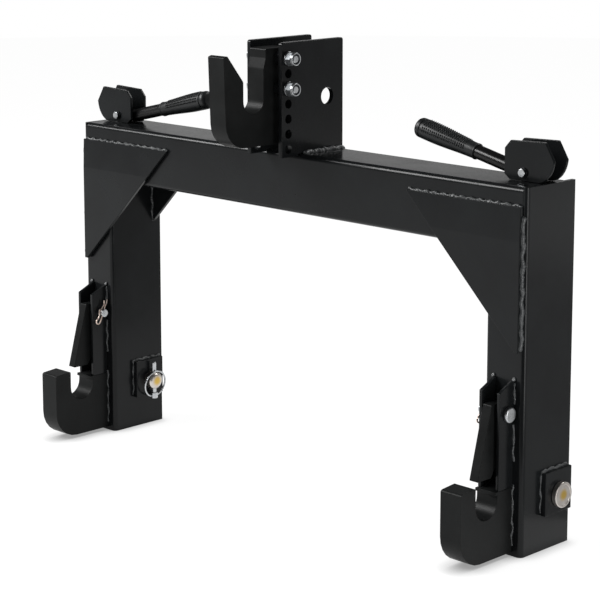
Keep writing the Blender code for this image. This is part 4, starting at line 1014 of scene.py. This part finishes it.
def build_floor():
    """White paper that shows white, with a painted shadow that dims its glow only close under the hitch."""
    bm = bmesh.new()
    bmesh.ops.create_circle(bm, cap_ends=True, segments=96, radius=FLOOR_RADIUS)
    material = blank("white studio paper")
    tree = material.node_tree
    close = add_node(tree, "ShaderNodeAmbientOcclusion", {"Distance": SHADE_REACH}, samples=SHADE_SAMPLES)
    painted_shadow = add_node(tree, "ShaderNodeMapRange", {"Value": close.outputs["AO"], "From Min": SHADE_BAND[0],
                                                   "From Max": SHADE_BAND[1], "To Min": SHADE_LEVEL,
                                                   "To Max": FLOOR_GLOW})
    paper = add_node(tree, "ShaderNodeBsdfDiffuse", {"Color": (FLOOR_PAPER, FLOOR_PAPER, FLOOR_PAPER, 1)})
    glow = add_node(tree, "ShaderNodeEmission", {"Strength": painted_shadow.outputs["Result"]})
    shown = add_node(tree, "ShaderNodeAddShader", {0: paper.outputs[0], 1: glow.outputs[0]})
    plain = add_node(tree, "ShaderNodeBsdfDiffuse", {"Color": (FLOOR_BOUNCE, FLOOR_BOUNCE, FLOOR_BOUNCE, 1)})
    both = add_node(tree, "ShaderNodeMixShader", {0: seen(tree), 1: plain.outputs[0], 2: shown.outputs[0]})
    add_node(tree, "ShaderNodeOutputMaterial", {"Surface": both.outputs[0]})
    staged("floor", bm, material)


def glowing(name, level):
    """A material of one even brightness."""
    material = blank(name)
    tree = material.node_tree
    glow = add_node(tree, "ShaderNodeEmission", {"Strength": level})
    add_node(tree, "ShaderNodeOutputMaterial", {"Surface": glow.outputs[0]})
    return material


def unseen(holder):
    """Leaves a card to reflections alone: it hides nothing and casts no shade."""
    holder.visible_camera = False
    holder.visible_diffuse = False
    holder.visible_shadow = False


def build_ceiling():
    """A dim dome that the coat mirrors: dark overhead, lighter low down and most of all at the back."""
    bm = bmesh.new()
    bmesh.ops.create_uvsphere(bm, u_segments=48, v_segments=24, radius=CEILING_RADIUS)
    bmesh.ops.bisect_plane(bm, geom=bm.verts[:] + bm.edges[:] + bm.faces[:], plane_co=(0, 0, CEILING_FOOT),
                           plane_no=(0, 0, 1), clear_inner=True)
    material = blank("dim studio ceiling")
    tree = material.node_tree
    spot = add_node(tree, "ShaderNodeTexCoord").outputs["Object"]
    parts = add_node(tree, "ShaderNodeSeparateXYZ", {"Vector": spot}).outputs
    height = add_node(tree, "ShaderNodeMapRange", {"Value": parts["Z"],
                                                   "From Min": CEILING_BAND[0] * CEILING_RADIUS,
                                                   "From Max": CEILING_BAND[1] * CEILING_RADIUS,
                                                   "To Min": 1.0, "To Max": 0.0},
                      interpolation_type="SMOOTHSTEP")
    back = add_node(tree, "ShaderNodeVectorMath", {0: spot, 1: CEILING_BACK}, operation="DOT_PRODUCT")
    rear = add_node(tree, "ShaderNodeMapRange", {"Value": back.outputs["Value"],
                                                 "From Min": CEILING_BACK_BAND[0] * CEILING_RADIUS,
                                                 "From Max": CEILING_BACK_BAND[1] * CEILING_RADIUS,
                                                 "To Min": CEILING_FRONT_SHARE, "To Max": 1.0},
                    interpolation_type="SMOOTHSTEP")
    share = add_node(tree, "ShaderNodeMath", {0: height.outputs["Result"], 1: rear.outputs["Result"]},
                     operation="MULTIPLY")
    level = add_node(tree, "ShaderNodeMapRange", {"Value": share.outputs[0], "To Min": CEILING_DARK,
                                                  "To Max": CEILING_LIGHT})
    glow = add_node(tree, "ShaderNodeEmission", {"Strength": level.outputs["Result"]})
    add_node(tree, "ShaderNodeOutputMaterial", {"Surface": glow.outputs[0]})
    unseen(staged("ceiling", bm, material))


def build_cards():
    """The standing card and the mats that give the coat its dark and light reflections."""
    for name, centre, turn, size, standing, level in CARDS:
        bm = bmesh.new()
        bmesh.ops.create_grid(bm, x_segments=1, y_segments=1, size=0.5)
        bmesh.ops.scale(bm, vec=(size[0], size[1], 1), verts=bm.verts[:])
        pose = Matrix.Translation(centre) @ Matrix.Rotation(turn, 4, "Z")
        if standing:
            pose = pose @ Matrix.Rotation(pi / 2, 4, "X")
        bmesh.ops.transform(bm, matrix=pose, verts=bm.verts[:])
        unseen(staged(name, bm, glowing(name, level)))


def build_lamps():
    """The soft lamps, and the plain view setting that they were set for."""
    for name, spot, aim, size, power in LAMPS:
        lamp = bpy.data.lights.new(name, "AREA")
        lamp.shape = "RECTANGLE"
        lamp.size, lamp.size_y = size
        lamp.energy = power
        holder = bpy.data.objects.new(name, lamp)
        holder.location = spot
        holder.rotation_euler = (Vector(aim) - Vector(spot)).to_track_quat("-Z", "Y").to_euler()
        bpy.context.scene.collection.objects.link(holder)
    bpy.context.scene.view_settings.view_transform = "Standard"


def build_camera():
    """The camera of the main picture."""
    data = bpy.data.cameras.new("camera")
    data.lens = CAMERA_LENS
    data.sensor_width = CAMERA_SENSOR
    data.shift_y = -CAMERA_SHIFT_DOWN
    camera = bpy.data.objects.new("camera", data)
    camera.location = CAMERA_PLACE
    camera.rotation_euler = (pi / 2 - CAMERA_PITCH, 0, CAMERA_YAW)
    bpy.context.scene.collection.objects.link(camera)
    bpy.context.scene.camera = camera


build_camera()
build_world()
build_floor()
build_ceiling()
build_cards()
build_lamps()
build_shaped_pieces()
for number in (1, 2):
    build_top_hook_fixings(number)
for side, seed in WELD_SEEDS:
    build_gusset_weld(side, seed)
    build_hook_weld(side, seed + 1)
    build_boss_weld(side, seed + 2)
    build_mast_weld(side, seed + 3)
    build_corner_weld(side, seed + 4)
    build_link_pin(side)
    build_clevis_pin(side)
    build_lever_rod(side)
    build_lever_grip(side)
    build_cam_pin(side)
    build_ring(f"{side}_cam_pin_ring", CAM_RING_BORE, 1, "oxide")
    build_clip(side)
    build_lynch_pin(side)
    dress(f"{side}_lynch_ring", "zinc", BORED_EDGE)
